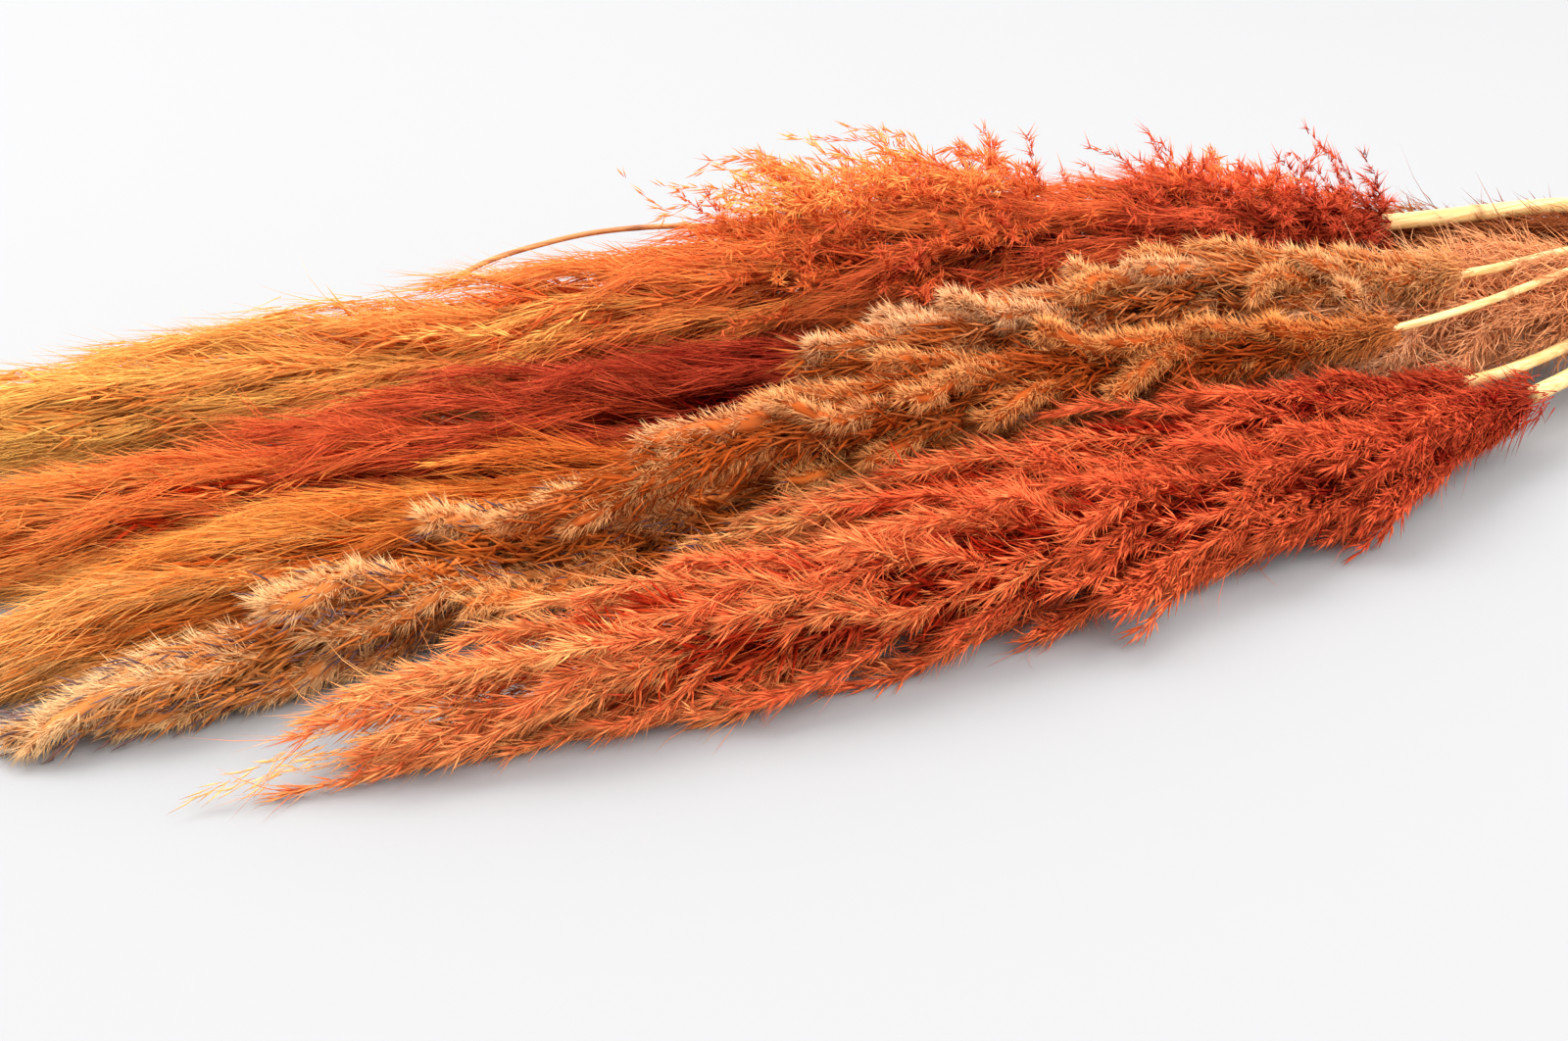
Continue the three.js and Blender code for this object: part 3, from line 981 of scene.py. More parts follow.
@dataclass
class FeatherPlume(Plume):
    """A plume of feathery side branches, the sprays, whose husks stand in two rows like a braid.

    A few wisps run on through its bare tip. The tassels are the places along its front where bunches of short
    branches hang out.
    """

    fill_start: float = 0.25
    sprays: int = 250
    spray_start: Span = (0.17, 1.0)
    spray_length: Span = (26 * MM, 70 * MM)
    spikelets: int = 25
    bare_tip: float = 0.06
    wisps: int = 5
    wisp_start: Span = (0.08, 0.19)
    wisp_length: Span = (40 * MM, 60 * MM)
    wisp_glow: float = 0.3
    husks_per_wisp: int = 13
    flyaways: int = 1
    tassels: tuple[float, ...] = ()
    tassel_branches: int = 9
    tassel_spread: float = 0.03
    tassel_length: Span = (30 * MM, 44 * MM)
    tassel_turns: Span = (3.25, 3.6)

    def grow(self, group: bpy.types.NodeTree) -> bpy.types.Material:
        """Grows husks in two rows along every spray, fine hairs between them, wisps at the tip, and tassels.

        Args:
            group: The shared dye and painted shade effect.

        Returns:
            The plume's material.
        """
        material = super().grow(group)
        rng = self.rng
        sprays = self.branches(self.sprays, self.spray_start, self.spray_length, rise=2.0, twist=0.45,
                               wave=0.08, flare=0.25, stop=self.bare_tip)
        wisps = self.branches(self.wisps, self.wisp_start, self.wisp_length, depth=(0.1, 0.5), wave=0.3)
        wisps.light += self.wisp_glow
        self.add("wisps", wisps.sample(self.husks_per_wisp, rng, (0.1, 1.0)).fibres(rng, WISP_HUSK), material)
        self.add("husks", sprays.sample(self.spikelets, rng, (0.1, 1.0)).fibres(rng, FEATHER_HUSK), material)
        self.add("hairs", sprays.sample(self.spikelets, rng, (0.2, 1.0)).fibres(rng, FEATHER_HAIR), material)
        self.add("flyaways", sprays.sample(self.flyaways, rng, (0.5, 1.0)).fibres(rng, FLYAWAY), material)
        for number, start in enumerate(self.tassels, 1):
            tassel = self.branches(self.tassel_branches, (start, start + self.tassel_spread),
                                   self.tassel_length, depth=(0.5, 1.5), rise=1.3, turns=self.tassel_turns)
            husks = tassel.sample(self.spikelets, rng).fibres(rng, FEATHER_HUSK)
            self.add(f"tassel_{number}", husks, material)
        return material


VELVET_FUZZ = FibreKind(
    FibreShape.SPIKE, (3.9 * MM, 7.2 * MM), (0.34 * MM, 0.56 * MM), (26, 62), cluster=9, light=(0.34, 0.92),
    light_noise=0.12, dye=(-0.12, 0.12), wander=0.1, splay=0.24, scatter=1.5 * MM, shelter=0.24,
)
AWN = FibreKind(
    FibreShape.HUSK, (6.5 * MM, 10 * MM), (0.6 * MM, 0.9 * MM), (24, 40), cluster=1, flatness=0.4, splay=0.08,
    light=(0.0, 0.3), ripen=0.0, shelter=0.0,
)


@dataclass
class VelvetPlume(Plume):
    """A plume of thick fingers that short dense fuzz covers all round.

    The pith is the radius of the fingers' solid middles, and the sway is how far their ends stray along each
    axis. The tufts and awns are those on one finger. The fuzz starts at fuzz_foot of the pith's radius, and
    the awns start outside the pith, by awn_foot of the longest fuzz.
    """

    fingers: int = 34
    finger_start: Span = (0.16, 1.0)
    finger_length: Span = (32 * MM, 58 * MM)
    finger_depth: float = 0.95
    pith: Span = (1.6 * MM, 2.8 * MM)
    pith_sides: int = 8
    sway: Triple = (2 * MM, 5 * MM, 3 * MM)
    tufts: int = 125
    fuzz: FibreKind = VELVET_FUZZ
    fuzz_foot: float = 0.85
    awns: int = 0
    awn_foot: float = 0.3
    steps: int = 14

    def grow(self, group: bpy.types.NodeTree) -> bpy.types.Material:
        """Grows the fingers, each bowed its own way, with fuzz round them, and dark awns where there are any.

        Args:
            group: The shared dye and painted shade effect.

        Returns:
            The plume's material.
        """
        material = super().grow(group)
        rng = self.rng
        fingers = self.branches(self.fingers, self.finger_start, self.finger_length,
                                depth=(0.15, self.finger_depth), rise=1.2, twist=0.7, wave=0.2,
                                steps=self.steps)
        t = np.linspace(0, 1, self.steps)[None, :, None]
        fingers.lines = fingers.lines + rng.normal(size=(self.fingers, 1, 3)) * np.array(self.sway) * t**2
        fingers.lines[..., 2] = np.maximum(fingers.lines[..., 2], self.pith[1] + self.clearance)
        girth = within(rng, self.pith, self.fingers)
        dress(self.build_pith(fingers, girth), material, self.node)
        buds = fingers.sample(self.tufts, rng, (0.0, 0.995))
        stand = np.repeat(girth, self.tufts) * self.profile(buds.t) * self.fuzz_foot
        self.add("fuzz", buds.fibres(rng, self.fuzz, stand), material)
        if self.awns:
            buds = fingers.sample(self.awns, rng, (0.05, 1.0))
            stand = np.repeat(girth, self.awns) * self.profile(buds.t) + self.awn_foot * self.fuzz.length[1]
            self.add("awns", buds.fibres(rng, AWN, stand), AWN_DYE_AND_SHADE.material(group))
        return material

    @staticmethod
    def profile(t: Array) -> Array:
        """Gives a finger's girth along it: three quarters at its root, full in the middle, a round end."""
        return np.clip(0.75 + t, 0, 1) * np.sqrt(np.clip((1.0 - t) / 0.12, 0.02, 1))

    def build_pith(self, fingers: Branches, girth: Array) -> bpy.types.Object:
        """Makes the fingers' solid middles: tubes with soft lobes that run round them.

        At the place t along a finger and the angle a round it, the radius is the girth times the profile,
        times 1 + 0.12 sin(38 t + 2 a + phase) + 0.06 sin(61 t - 3 a).

        Args:
            fingers: The fingers' lines.
            girth: Radius of each.

        Returns:
            The piece.
        """
        rng, sides = self.rng, self.pith_sides
        count, steps = fingers.lines.shape[:2]
        t = np.linspace(0, 1, steps)[None, :, None]
        angle = angles_round(sides)[None, None, :]
        phase = within(rng, ANY_PHASE, (count, 1, 1))
        lobes = 1 + 0.12 * np.sin(38 * t + 2 * angle + phase) + 0.06 * np.sin(61 * t - 3 * angle)
        radius = girth[:, None, None] * self.profile(t) * lobes
        points, faces = sweep(fingers.lines, frames_along(fingers.lines), radius)
        # The pith is in painted shade, deep under the fuzz; its dye and that painted lightness change a
        # little from place to place.
        dye = np.repeat(fingers.dye, steps * sides + 2) + 0.08 * np.sin(points[:, 0] * 400)
        light = 0.04 + 0.02 * np.sin(points[:, 1] * 900 + points[:, 2] * 700)
        return make_piece(f"{self.name}_pith", points, faces, on_dye_and_shade_map(dye, light))


COMBED_HAIR = FibreKind(
    FibreShape.SPIKE, (13 * MM, 28 * MM), (0.28 * MM, 0.52 * MM), (2, 15), cluster=5, light=(0.4, 0.9),
    light_noise=0.16, dye=(-0.1, 0.12), splay=0.06, scatter=5 * MM,
)
FLOSS = FibreKind(
    FibreShape.HUSK, (10 * MM, 21 * MM), (0.26 * MM, 0.46 * MM), (4, 36), cluster=4, light=(0.4, 0.85),
    dye=(-0.1, 0.12), splay=0.2, scatter=5 * MM, wander=0.24, droop=0.1,
)
COMBED_HUSK = FibreKind(
    FibreShape.SPIKE, (5 * MM, 10 * MM), (0.32 * MM, 0.58 * MM), (6, 28), light=(0.5, 1.0), light_noise=0.22,
    dye=(-0.05, 0.2),
)
STRAW_HUSK = FibreKind(
    FibreShape.HUSK, (6 * MM, 10 * MM), (0.5 * MM, 0.8 * MM), (10, 28), cluster=2, flatness=0.8,
    light=(0.6, 1.0), light_noise=0.1, dye=(0.1, 0.3), splay=0.08, shelter=0.0,
)


@dataclass
class CombedPlume(Plume):
    """A plume of fine silky hairs that are combed toward the tip, with small pale husks among them."""

    sprays: int = 170
    spray_start: Span = (0.05, 1.0)
    spray_length: Span = (40 * MM, 105 * MM)
    hair: FibreKind = COMBED_HAIR
    husk: FibreKind = COMBED_HUSK
    hairs_per_spray: int = 34
    husks_per_spray: int = 20
    flyaways_per_spray: int = 1
    straws: int = 5
    straw_start: Span = (0.2, 0.9)
    straw_length: Span = (50 * MM, 95 * MM)
    husks_per_straw: int = 30

    def grow(self, group: bpy.types.NodeTree) -> bpy.types.Material:
        """Grows the flowing hairs, the husks among them, and a few long strands that fly loose.

        Args:
            group: The shared dye and painted shade effect.

        Returns:
            The plume's material.
        """
        material = super().grow(group)
        rng = self.rng
        sprays = self.branches(self.sprays, self.spray_start, self.spray_length, rise=2.2, twist=0.22,
                               wave=0.1, steps=12, flare=0.08)
        straws = self.branches(self.straws, self.straw_start, self.straw_length, depth=(0.7, 1.08),
                               rise=3.0, wave=0.15)
        hairs = sprays.sample(self.hairs_per_spray, rng).fibres(rng, self.hair)
        husks = sprays.sample(self.husks_per_spray, rng, (0.25, 1.0)).fibres(rng, self.husk)
        loose = sprays.sample(self.flyaways_per_spray, rng, (0.4, 1.0)).fibres(rng, FLYAWAY)
        self.add("hairs", hairs, material)
        self.add("husks", husks, material)
        self.add("flyaways", loose, material)
        strands = straws.sample(self.husks_per_straw, rng, (0.15, 1.0)).fibres(rng, STRAW_HUSK)
        self.add("straws", strands, material)
        return material


TUFT_SPIKE = FibreKind(
    FibreShape.SPIKE, (3.5 * MM, 8 * MM), (0.4 * MM, 0.7 * MM), (12, 60), cluster=4, splay=0.3, curl=0.1,
    light=(0.15, 0.68), light_noise=0.18, dye=(-0.2, 0.14), ripen=0.28,
)
CREST_SPIKE = FibreKind(
    FibreShape.HUSK, (4 * MM, 8.5 * MM), (0.42 * MM, 0.7 * MM), (8, 44), splay=0.2, curl=0.1,
    light=(0.5, 1.0), light_noise=0.2, dye=(0.0, 0.26), ripen=0.2,
)


@dataclass(frozen=True)
class Bunch:
    """Stalks that stand up off a tufted plume.

    It says where along the plume they stand, how many they are, how long, at which angles round the middle
    line, how deep their feet are, and the size of the random part of their aim.
    """

    start: Span
    count: int
    length: Span
    turn: Span = (0.2, 2.0)
    depth: Span = (0.75, 0.95)
    stray: float = 0.3


@dataclass
class TuftedPlume(CombedPlume):
    """A combed plume whose foot half stands up in curled, spiky tufts.

    Its back dips at the saddle, by saddle_dip and over about saddle_width to each side. Fibres on the back,
    its top, carry painted light: they are paler by back_glow than those on the sides. No stalk rises past
    the solids by more than the headroom.
    """

    saddle: float = 0.79
    saddle_dip: float = 0.45
    saddle_width: float = 0.035
    back_glow: float = 0.14
    headroom: float = 6 * MM
    spikes: int = 15
    stalk_points: int = 7
    tufts: Bunch = Bunch((0.57, 1.0), 545, (12 * MM, 26 * MM), (0.0, 2 * np.pi), (0.3, 0.9), 0.45)
    crests: tuple[Bunch, ...] = (
        Bunch((0.6, 0.745), 130, (18 * MM, 40 * MM)),
        Bunch((0.845, 0.95), 55, (9 * MM, 17 * MM)),
    )

    def flicks(self, bunch: Bunch) -> Branches:
        """Sends short curved stalks off the skin, toward the tip, outward and up.

        A stalk's points are foot + length (t aim + t squared bend), with a small wave across it. The stalks
        are shorter and start deeper round the saddle.

        Args:
            bunch: Where they stand, and how they grow.

        Returns:
            The stalks, as branches.
        """
        rng, room, count = self.rng, self.room, bunch.count
        along, angle = within(rng, bunch.start, count), within(rng, bunch.turn, count)
        dip = 1 - self.saddle_dip * np.exp(-(((along - self.saddle) / self.saddle_width) ** 2))
        deep = within(rng, bunch.depth, count) * dip
        foot = room.place(along, angle, deep)
        middle = room.axis(along)
        aim = unit(foot - middle) * within(rng, (0.3, 1.0), count)[:, None] + np.array([-0.8, 0.0, 0.05])
        aim = unit(aim + rng.normal(scale=bunch.stray, size=(count, 3)))
        bend = rng.normal(scale=0.3, size=(count, 3)) + np.array([-0.2, 0.0, 0.0])
        size = (within(rng, bunch.length, count) * dip)[:, None, None]
        share = np.linspace(0, 1, self.stalk_points)
        t = share[None, :, None]
        wave = unit(rng.normal(size=(count, 1, 3))) * 0.07 * np.sin(2 * np.pi * t)
        lines = foot[:, None] + size * (t * aim[:, None] + t**2 * bend[:, None] + wave)
        lines[..., 2] = np.clip(lines[..., 2], self.clearance, CAD_BOX[1][2] + self.headroom)
        depths = np.clip(deep[:, None] + 0.4 * share[None, :], 0, 1)
        # painted light on the stalks on top of the plume and painted shade on those below, in dye and
        # lightness
        glow = self.back_glow * (np.sin(angle) - 0.6)
        dye = self.dye_at(along) + rng.normal(scale=0.12, size=count) + glow
        tone = self.tone_at(along) + 2 * glow
        return Branches(lines, depths, dye, tone, np.repeat(middle[:, None], self.stalk_points, axis=1))

    def grow(self, group: bpy.types.NodeTree) -> bpy.types.Material:
        """Grows the combed part, then the spiky tufts and the crests over its foot half.

        Args:
            group: The shared dye and painted shade effect.

        Returns:
            The plume's material.
        """
        material = super().grow(group)
        rng = self.rng
        tufts = self.flicks(self.tufts).sample(self.spikes, rng).fibres(rng, TUFT_SPIKE)
        self.add("tufts", tufts, material)
        for number, crest in enumerate(self.crests, 1):
            spikes = self.flicks(crest).sample(self.spikes, rng, (0.1, 1.0)).fibres(rng, CREST_SPIKE)
            self.add(f"crest_{number}", spikes, material)
        return material


# ------------------------------------------------------- stems, stalk and tie
@dataclass(frozen=True)
class DryStraw:
    """The skin of a dry stem, a stalk or jute: long streaks, dull blotches, darker joints, and painted shade
    in a cut stem's hollow end.
    """

    name: str
    pale: Colour
    deep: Colour
    joint: Colour
    streak: float = 420.0
    stretch: float = 0.03

    def material(self) -> bpy.types.Material:
        """Makes the material, which reads Object coordinates and the piece's joint attribute; that attribute
        also carries the painted shade inside a cut stem's hollow end.

        Returns:
            The material.
        """
        material, shader = new_material(self.name, roughness=0.5)
        nodes = Nodes(material.node_tree)
        place = nodes.add("TexCoord").outputs["Object"]
        grain = nodes.add("Mapping")
        grain.inputs["Scale"].default_value = (self.streak * self.stretch, self.streak, self.streak)
        nodes.link(place, grain.inputs["Vector"])
        streaks = nodes.noise(grain.outputs["Vector"], scale=2.2, detail=6.0)
        blotches = nodes.noise(place, scale=45.0)
        tone = nodes.mix(nodes.spread(streaks, low=0.35, high=0.68), self.deep, self.pale)
        tone = nodes.mix(nodes.spread(blotches, low=0.56, high=0.8), tone, self.deep)
        joints = nodes.add("Attribute", attribute_name="joint")
        nodes.link(nodes.mix(joints.outputs["Fac"], tone, self.joint), shader.inputs["Base Color"])
        bump = nodes.add("Bump")
        bump.inputs["Strength"].default_value = 0.35
        bump.inputs["Distance"].default_value = 0.3 * MM
        nodes.link(streaks, bump.inputs["Height"])
        nodes.link(bump.outputs["Normal"], shader.inputs["Normal"])
        return material


def frames_along(paths: Array, upright: Triple = (0.0, 0.0, 1.0)) -> tuple[Array, Array, Array]:
    """Finds the way, a side and a lift at each point of paths that never run along the upright.

    Args:
        paths: One row of points for each path.
        upright: The direction that every side is square to.

    Returns:
        Three arrays of unit vectors: the way along, the side and the lift.
    """
    way = unit(np.gradient(paths, axis=1))
    side = unit(np.cross(upright, way))
    return way, side, np.cross(way, side)


def sweep(paths: Array, frames: tuple[Array, Array, Array], radius: Array) -> tuple[Array, Array]:
    """Carries a ring along each path and closes both ends with a fan.

    A ring's corner is path + radius (cos a side + sin a lift).

    Args:
        paths: One row of points for each path.
        frames: The way, side and lift at each point.
        radius: Radius for each path, point and corner.

    Returns:
        Points and triangles of all the tubes.
    """
    count, steps, sides = radius.shape
    angle = angles_round(sides)[:, None]
    spread = np.cos(angle) * frames[1][:, :, None] + np.sin(angle) * frames[2][:, :, None]
    rings = paths[:, :, None] + radius[..., None] * spread
    points = np.concatenate([rings.reshape(count, steps * sides, 3), paths[:, :1], paths[:, -1:]], axis=1)
    near = np.arange(sides)
    far = (near + 1) % sides
    row = np.arange(steps - 1)[:, None] * sides
    low, across, high, beyond = ((row + at).ravel() for at in (near, far, sides + far, sides + near))
    last = (steps - 1) * sides
    pattern = np.concatenate([
        np.stack([low, across, high], -1),
        np.stack([low, high, beyond], -1),
        np.stack([far, near, np.full(sides, steps * sides)], -1),
        np.stack([last + near, last + far, np.full(sides, steps * sides + 1)], -1),
    ])
    faces = pattern[None] + (np.arange(count) * (steps * sides + 2))[:, None, None]
    return points.reshape(-1, 3), faces.reshape(-1, 3)


@dataclass
class Stem:
    """A reed's dry stem: fine ribs, swollen joints, and a hollow cut end."""

    node: str
    slot: str = "straw_stem"
    sides: int = 16
    joint_spacing: float = 95 * MM
    joint_length: float = 2.2 * MM
    joint_swell: float = 0.1
    joint_tint: float = 0.75
    hollow: float = 0.55
    hollow_depth: float = 4 * MM

    def build(self, material: bpy.types.Material, rng: np.random.Generator) -> None:
        """Measures the CAD stem, and makes the finer one in its place.

        The radius is the solid's mean radius times 0.97 + joint_swell j + ribs. Here j is
        exp(-(distance from the joint / joint_length) squared), and the ribs at the angle a are
        0.018 sin(7 a + phase) + 0.012 sin(3 a + 1.3).

        Args:
            material: The straw finish.
            rng: Source of the joints' places and of the ribs.
        """
        rings = node_rings(self.node)
        centres = np.array([ring.mean(0) for ring in rings])
        radius = float(np.mean([np.linalg.norm(r - c, axis=1).mean() for r, c in zip(rings, centres)]))
        path = smooth_rows(centres, 6)
        way, side, lift = (vectors[0] for vectors in frames_along(path[None]))
        run = run_along(path)
        first = rng.uniform(0.2, 0.9) * self.joint_spacing
        half = self.joint_spacing / 2
        gap = np.abs((run - first + half) % self.joint_spacing - half)
        joint = np.exp(-((gap / self.joint_length) ** 2))
        angle = angles_round(self.sides)
        ribs = 0.018 * np.sin(angle * 7 + rng.uniform(0, 6)) + 0.012 * np.sin(angle * 3 + 1.3)
        profile = radius * (0.97 + self.joint_swell * joint[:, None] + ribs[None, :])

        # The skin turns in at the cut end: three more rings, each narrower and darker, the last one inside;
        # that darkening is painted shade in the hollow.
        mouth = [path[-1], path[-1], path[-1] - way[-1] * self.hollow_depth]
        share = [0.86, self.hollow, self.hollow * 0.9]
        dark = [0.3, 0.9, 1.0]
        path = np.concatenate([path, mouth])
        frames = tuple(np.concatenate([v, np.repeat(v[-1:], 3, axis=0)])[None] for v in (way, side, lift))
        profile = np.concatenate([profile, [profile[-1] * s for s in share]])
        points, faces = sweep(path[None], frames, profile[None])
        points[:, 2] = np.maximum(points[:, 2], FLOOR_AIR)
        piece = make_piece(f"{self.node}_culm", points, faces)
        tint = np.concatenate([np.repeat(np.append(joint, dark), self.sides), [0.0, 1.0]]) * self.joint_tint
        piece.data.attributes.new("joint", "FLOAT", "POINT").data.foreach_set("value", tint)
        dress(piece, material, self.node)


@dataclass
class TwineTie:
    """The twine round the stems: turns side by side, a knot on top, and two short frayed ends.

    The knot rises knot_rise diameters over the turns. The turns lie pitch diameters apart, so that they press
    into each other a little. Each strand's middle is strand_offset diameters from the twine's middle, and its
    radius is strand_radius diameters.
    """

    node: str = "twine_tie"
    diameter: float = 2.4 * MM
    turns: int = 4
    pitch: float = 0.96
    points_per_turn: int = 96
    strands: int = 3
    strand_sides: int = 6
    strand_offset: float = 0.24
    strand_radius: float = 0.27
    lay: float = 9 * MM
    knot: float = 9 * MM
    knot_rise: float = 1.75
    tail: float = 24 * MM
    frays: int = 26
    stray_hairs: int = 420
    hair_length: Span = (2.2 * MM, 4.5 * MM)
    hair_width: Span = (0.1 * MM, 0.2 * MM)
    floor_air: float = 0.05 * MM

    def __post_init__(self) -> None:
        """Measures the ring of turns from the CAD node: it stands on the node's foot and at its +Y side."""
        low, high = (np.array(corner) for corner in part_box(self.node))
        self.outer = (high[2] - low[2] - self.knot_rise * self.diameter) / 2
        self.centre = np.array([(low[0] + high[0]) / 2, high[1] - self.outer, low[2] + self.outer])

    def winding(self) -> Array:
        """Lays the turns: a screw line round the stems that starts and ends under the knot.

        Its points at the angle a are (pitch times the turns so far, radius sin a, radius cos a).

        Returns:
            The line's points.
        """
        angle = np.linspace(0, 2 * np.pi * self.turns, self.points_per_turn * self.turns)
        radius = self.outer - self.diameter / 2
        across = (angle / (2 * np.pi) - self.turns / 2) * self.diameter * self.pitch
        return self.centre + np.stack([across, radius * np.sin(angle), radius * np.cos(angle)], axis=-1)

    def knot_line(self) -> Array:
        """Ties the knot: a trefoil, whose line crosses itself three times and closes.

        Its points are (sin a + 2 sin 2a, cos a - 2 cos 2a, - sin 3a), pressed flat.

        Returns:
            The line's points.
        """
        a = np.linspace(0, 2 * np.pi, 90)
        points = [np.sin(a) + 2 * np.sin(2 * a), np.cos(a) - 2 * np.cos(2 * a), -np.sin(3 * a)]
        size = np.array([self.knot / 7, self.knot / 7, 0.45 * self.diameter])
        rise = np.array([0, 0, self.outer + 0.35 * self.diameter])
        return self.centre + np.stack(points, axis=-1) * size + rise

    def tail_line(self, side: int) -> Array:
        """Lays one short end, which leaves the knot and comes down over the turns.

        Args:
            side: 1 for the end toward +X, -1 for the other.

        Returns:
            The line's points.
        """
        top = self.outer + 0.4 * self.diameter
        points = np.array([
            [0, 0, top], [side * self.tail * 0.45, -self.tail * 0.25, top + self.diameter / 2],
            [side * self.tail * 0.85, -self.tail * 0.5, top - self.tail / 5],
        ])
        return self.centre + smooth_rows(points, 14)

    def strand_tubes(self, path: Array, upright: Triple) -> tuple[Array, Array]:
        """Twists the strands round a line, each one at its own angle, which turns once in every lay.

        A strand's middle is path + offset (cos b side + sin b lift), and the angle b grows along it. Its
        radius ripples by 1 + 0.07 sin(1900 run + 2 corner).

        Args:
            path: Points of the twine's middle line.
            upright: A direction that the line never runs along.

        Returns:
            Points and triangles of the strands.
        """
        way, side, lift = (vectors[0] for vectors in frames_along(path[None], upright))
        run = run_along(path)
        start = np.arange(self.strands)[:, None] * 2 * np.pi / self.strands
        angle = (start + 2 * np.pi * run[None, :] / self.lay)[..., None]
        off = np.cos(angle) * side + np.sin(angle) * lift
        lines = path[None] + self.strand_offset * self.diameter * off
        wave = 1 + 0.07 * np.sin(run[None, :, None] * 1900 + 2 * np.arange(self.strand_sides)[None, None, :])
        shape = (self.strands, len(path), self.strand_sides)
        radius = self.strand_radius * self.diameter * np.broadcast_to(wave, shape)
        frames = tuple(np.broadcast_to(vectors, lines.shape) for vectors in (way, side, lift))
        return sweep(lines, frames, radius)

    def hairs(self, lines: list[Array], rng: np.random.Generator) -> Fibres:
        """Grows short stray hairs all round the turns, and a brush of them at both ends.

        Args:
            lines: The winding, and then the two ends.
            rng: Source of their places and aims.

        Returns:
            The hairs.
        """
        skin = lines[0][rng.integers(0, len(lines[0]), self.stray_hairs)]
        ends = np.repeat([line[-1] for line in lines[1:]], self.frays, axis=0)
        ahead = np.repeat([unit(line[-1] - line[-3]) for line in lines[1:]], self.frays, axis=0)
        root = np.concatenate([skin, ends + rng.normal(scale=0.4 * MM, size=ends.shape)])
        aim = np.concatenate([unit(skin - self.centre) * [0, 1, 1] + rng.normal(scale=0.5, size=skin.shape),
                              ahead + rng.normal(scale=0.25, size=ends.shape)])
        count = len(root)
        bend = rng.normal(scale=0.25, size=(count, 3))
        length, width = within(rng, self.hair_length, count), within(rng, self.hair_width, count)
        return Fibres(root, aim, bend, length, width, *(np.full(count, 0.5) for _ in range(3)))

    def build(self, material: bpy.types.Material, rng: np.random.Generator) -> None:
        """Makes the twine and its hairs, and puts them in the CAD tie's place.

        Args:
            material: The twine's finish.
            rng: Source of the hairs.
        """
        lines = [self.winding(), self.tail_line(-1), self.tail_line(1)]
        meshes = [self.strand_tubes(lines[0], (1.0, 0.0, 0.0))]
        meshes += [self.strand_tubes(line, (0.0, 0.0, 1.0)) for line in (*lines[1:], self.knot_line())]
        counts = np.cumsum([0] + [len(points) for points, _ in meshes[:-1]])
        points = np.concatenate([points for points, _ in meshes])
        faces = np.concatenate([faces + count for (_, faces), count in zip(meshes, counts)])
        points[:, 2] = np.maximum(points[:, 2], self.floor_air)
        for piece in (make_piece("twine_strands", points, faces),
                      make_piece("twine_hairs", *self.hairs(lines, rng).surface(rng))):
            dress(piece, material, self.node)


# ----------------------------------------------------------------------- stage
@dataclass
class Stage:
    """The pale floor, the soft studio light and the camera."""

    aim_from_corner: Span = (300 * MM, 115 * MM)
    azimuth: float = -30.0
    elevation: float = 25.0
    distance: float = 700 * MM
    lens: float = 50.0
    floor_reach: float = 20.0
    floor_colour: Colour = (0.325, 0.325, 0.33, 1.0)
    room_light: float = 1.6

    def floor(self) -> None:
        """Lays a large pale sheet under the bundle."""
        points = self.floor_reach * np.array([[-1, -1, 0], [1, -1, 0], [1, 1, 0], [-1, 1, 0]])
        floor = make_piece("floor", points, np.array([[0, 1, 2, 3]]))
        material, shader = new_material("pale_floor", roughness=0.85)
        shader.inputs["Base Color"].default_value = self.floor_colour
        floor.data.materials.append(material)
        floor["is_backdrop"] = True

    def lights(self) -> None:
        """Hangs one large soft light over the back and a weaker one at the front, in a bright room."""
        for name, place, size, power in (
            ("key_light", (-1.1, 1.3, 2.7), 2.1, 98.0),
            ("fill_light", (0.9, -1.7, 1.9), 2.2, 52.0),
        ):
            light = bpy.data.lights.new(name, "AREA")
            light.size = size
            light.energy = power
            lamp = bpy.data.objects.new(name, light)
            lamp.location = place
            lamp.rotation_euler = (-Vector(place)).to_track_quat("-Z", "Y").to_euler()
            bpy.context.scene.collection.objects.link(lamp)
        world = bpy.data.worlds.new("studio")
        world.use_nodes = True
        backdrop = world.node_tree.nodes["Background"]
        backdrop.inputs["Color"].default_value = (1, 1, 1, 1)
        backdrop.inputs["Strength"].default_value = self.room_light
        bpy.context.scene.world = world
        bpy.context.scene.view_settings.view_transform = "Standard"

    def camera(self) -> None:
        """Looks down along the bundle from in front of its tips."""
        data = bpy.data.cameras.new("camera")
        data.lens = self.lens
        camera = bpy.data.objects.new("camera", data)
        a, e = math.radians(self.azimuth), math.radians(self.elevation)
        back = Vector((math.sin(a) * math.cos(e), -math.cos(a) * math.cos(e), math.sin(e)))
        low = CAD_BOX[0]
        target = Vector((low[0] + self.aim_from_corner[0], low[1] + self.aim_from_corner[1], 0))
        camera.location = target + back * self.distance
        camera.rotation_euler = back.to_track_quat("Z", "Y").to_euler()
        bpy.context.scene.collection.objects.link(camera)
        bpy.context.scene.camera = camera


STRAW = DryStraw("dry_straw", srgb(244, 212, 150), srgb(214, 164, 92), srgb(150, 96, 46))
STALK = DryStraw("bare_stalk_skin", srgb(214, 150, 84), srgb(170, 100, 48), srgb(120, 66, 30))
TWINE = DryStraw("jute_twine", srgb(200, 170, 120), srgb(150, 118, 74), srgb(110, 82, 48), streak=900.0)


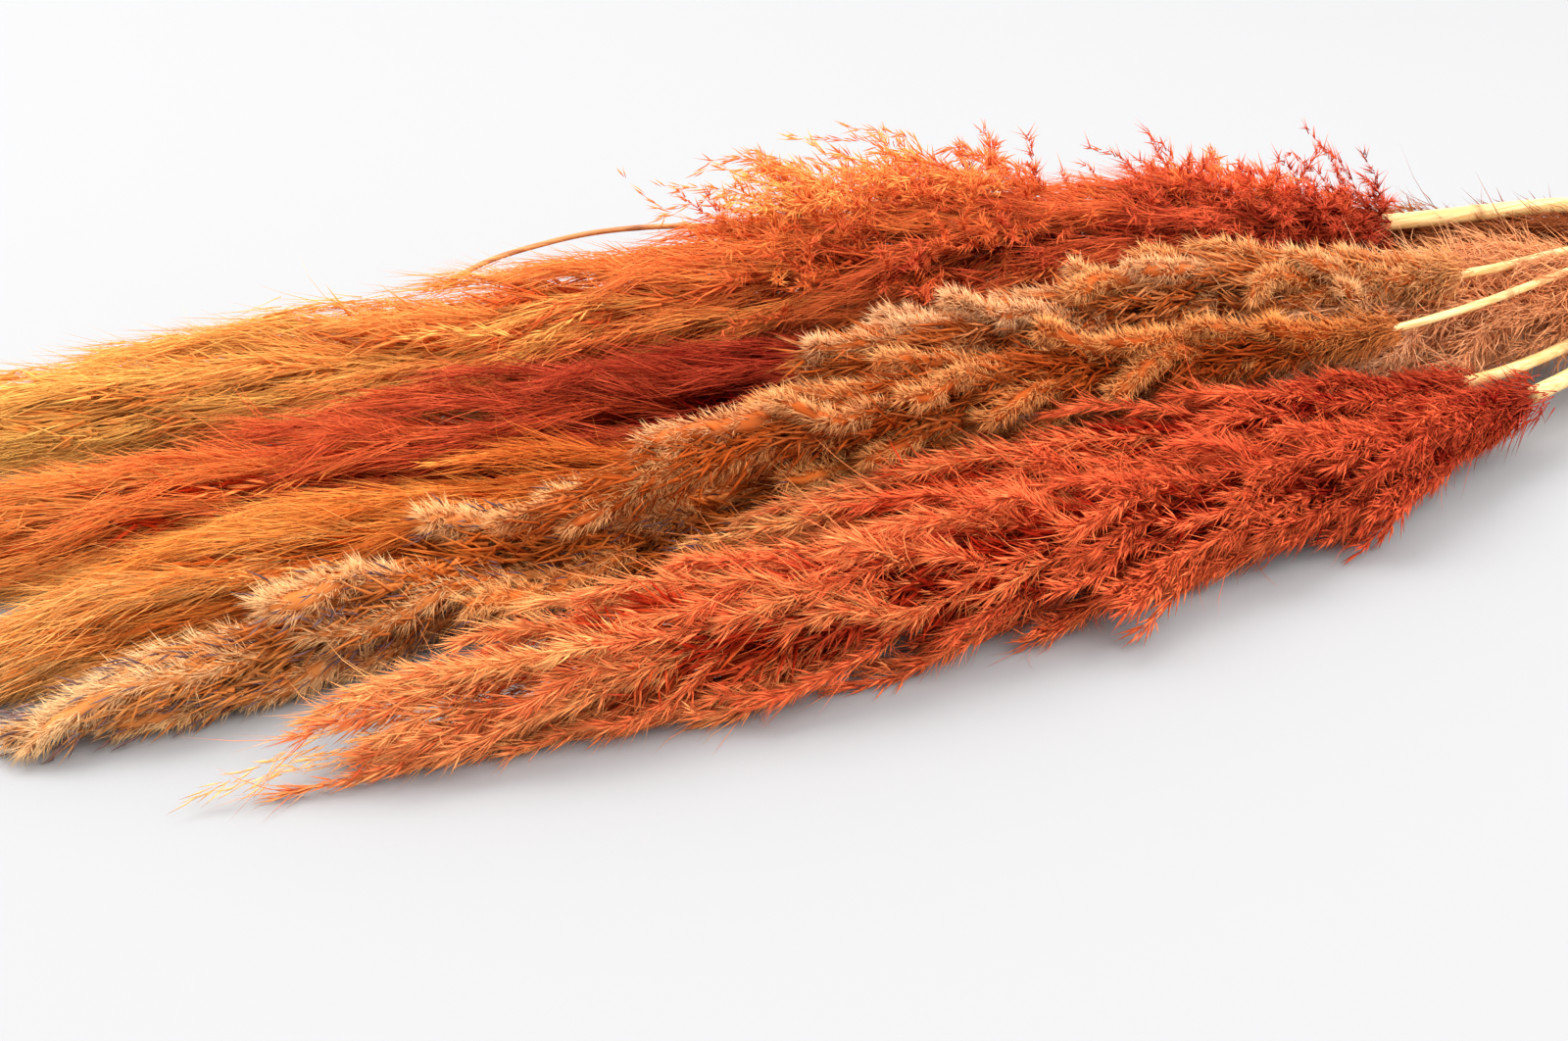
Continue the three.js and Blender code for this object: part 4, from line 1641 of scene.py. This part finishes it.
def bundle_plumes() -> list[Plume]:
    """Lists the plumes: the front ones, the tan ones, those at the back, and those at the left and right.

    Returns:
        The plumes, each with its finish, its slot, its seed and what sets it apart from its kind.
    """
    return [
        FeatherPlume("front_rust", FRONT_DYE_AND_SHADE, "rust_plume", 11, dye_ends=(0.86, 0.0), tone_ends=(0.3, -0.12),
                     swell=2 * MM, fill=170, tassels=(0.62, 0.84)),
        FeatherPlume("front_inner", FRONT_DYE_AND_SHADE, "rust_plume", 12, dye_ends=(0.8, 0.0), sprays=85),
        VelvetPlume("tan_low", STRAW_DYE_AND_SHADE, "straw_plume", 13, dye_ends=(1.0, 0.2), tone_ends=(0.1, -0.4),
                    swell=5 * MM, fingers=32, finger_start=(0.12, 1.0), finger_length=(42 * MM, 80 * MM),
                    pith=(2.0 * MM, 3.0 * MM), sway=(2 * MM, 4 * MM, 2 * MM), tufts=135, awns=42,
                    fuzz=replace(VELVET_FUZZ, length=(5 * MM, 9 * MM), width=(0.3 * MM, 0.5 * MM), cluster=10,
                                 light=(0.46, 0.96))),
        VelvetPlume("tan_middle", TAN_DYE_AND_SHADE, "tan_plume", 14, dye_ends=(0.6, 0.1), fingers=32),
        VelvetPlume("tan_top", TAN_DYE_AND_SHADE, "tan_plume", 15, dye_ends=(0.7, 0.5), tone_ends=(0.0, 0.4),
                    fingers=32, swell=2 * MM, finger_length=(28 * MM, 50 * MM)),
        TuftedPlume("back_top", ORANGE_DYE_AND_SHADE, "orange_plume", 16, dye_ends=(1.3, -0.15), tone_ends=(1.0, 0.22),
                    sprays=150, swell=-3 * MM, fill=190, fill_depth=0.8),
        CombedPlume("back_middle", ORANGE_DYE_AND_SHADE, "orange_plume", 17, dye_ends=(1.0, -0.8),
                    tone_ends=(0.3, -1.0), sprays=150, swell=1 * MM),
        CombedPlume("back_far", ORANGE_DYE_AND_SHADE, "orange_plume", 18, dye_ends=(1.1, 0.0), tone_ends=(0.3, 0.0),
                    sprays=92),
        CombedPlume("amber_left", AMBER_DYE_AND_SHADE, "amber_plume", 19, dye_ends=(0.9, -0.2), tone_ends=(0.04, -0.5),
                    sprays=112),
        CombedPlume("peach_right", PEACH_DYE_AND_SHADE, "peach_plume", 20, dye_ends=(0.9, 0.1), tone_ends=(0.1, 0.1),
                    sprays=120, swell=7 * MM, hair=FLOSS, straws=1),
        CombedPlume("brown_right", BROWN_DYE_AND_SHADE, "brown_plume", 21, dye_ends=(0.9, 0.0), sprays=55, swell=6 * MM,
                    hair=FLOSS, hairs_per_spray=26, straws=1),
    ]


def main() -> None:
    """Builds the bundle piece by piece, then the stage around it."""
    logging.basicConfig(level=logging.INFO, format="%(message)s")
    group = dye_and_shade_group()
    for plume in bundle_plumes():
        plume.grow(group)

    rng = np.random.default_rng(5)
    straw = STRAW.material()
    for name in sorted(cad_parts):
        if name.startswith("stem"):
            Stem(name).build(straw, rng)
    Stem("bare_stalk", "bare_stalk", sides=10, hollow=0.3).build(STALK.material(), rng)
    TwineTie().build(TWINE.material(), rng)

    stage = Stage()
    stage.floor()
    stage.lights()
    stage.camera()
    pieces = [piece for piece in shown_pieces() if piece.type == "MESH"]
    log.info("%d pieces, %d faces", len(pieces), sum(len(piece.data.polygons) for piece in pieces))


if __name__ == "__main__":
    main()
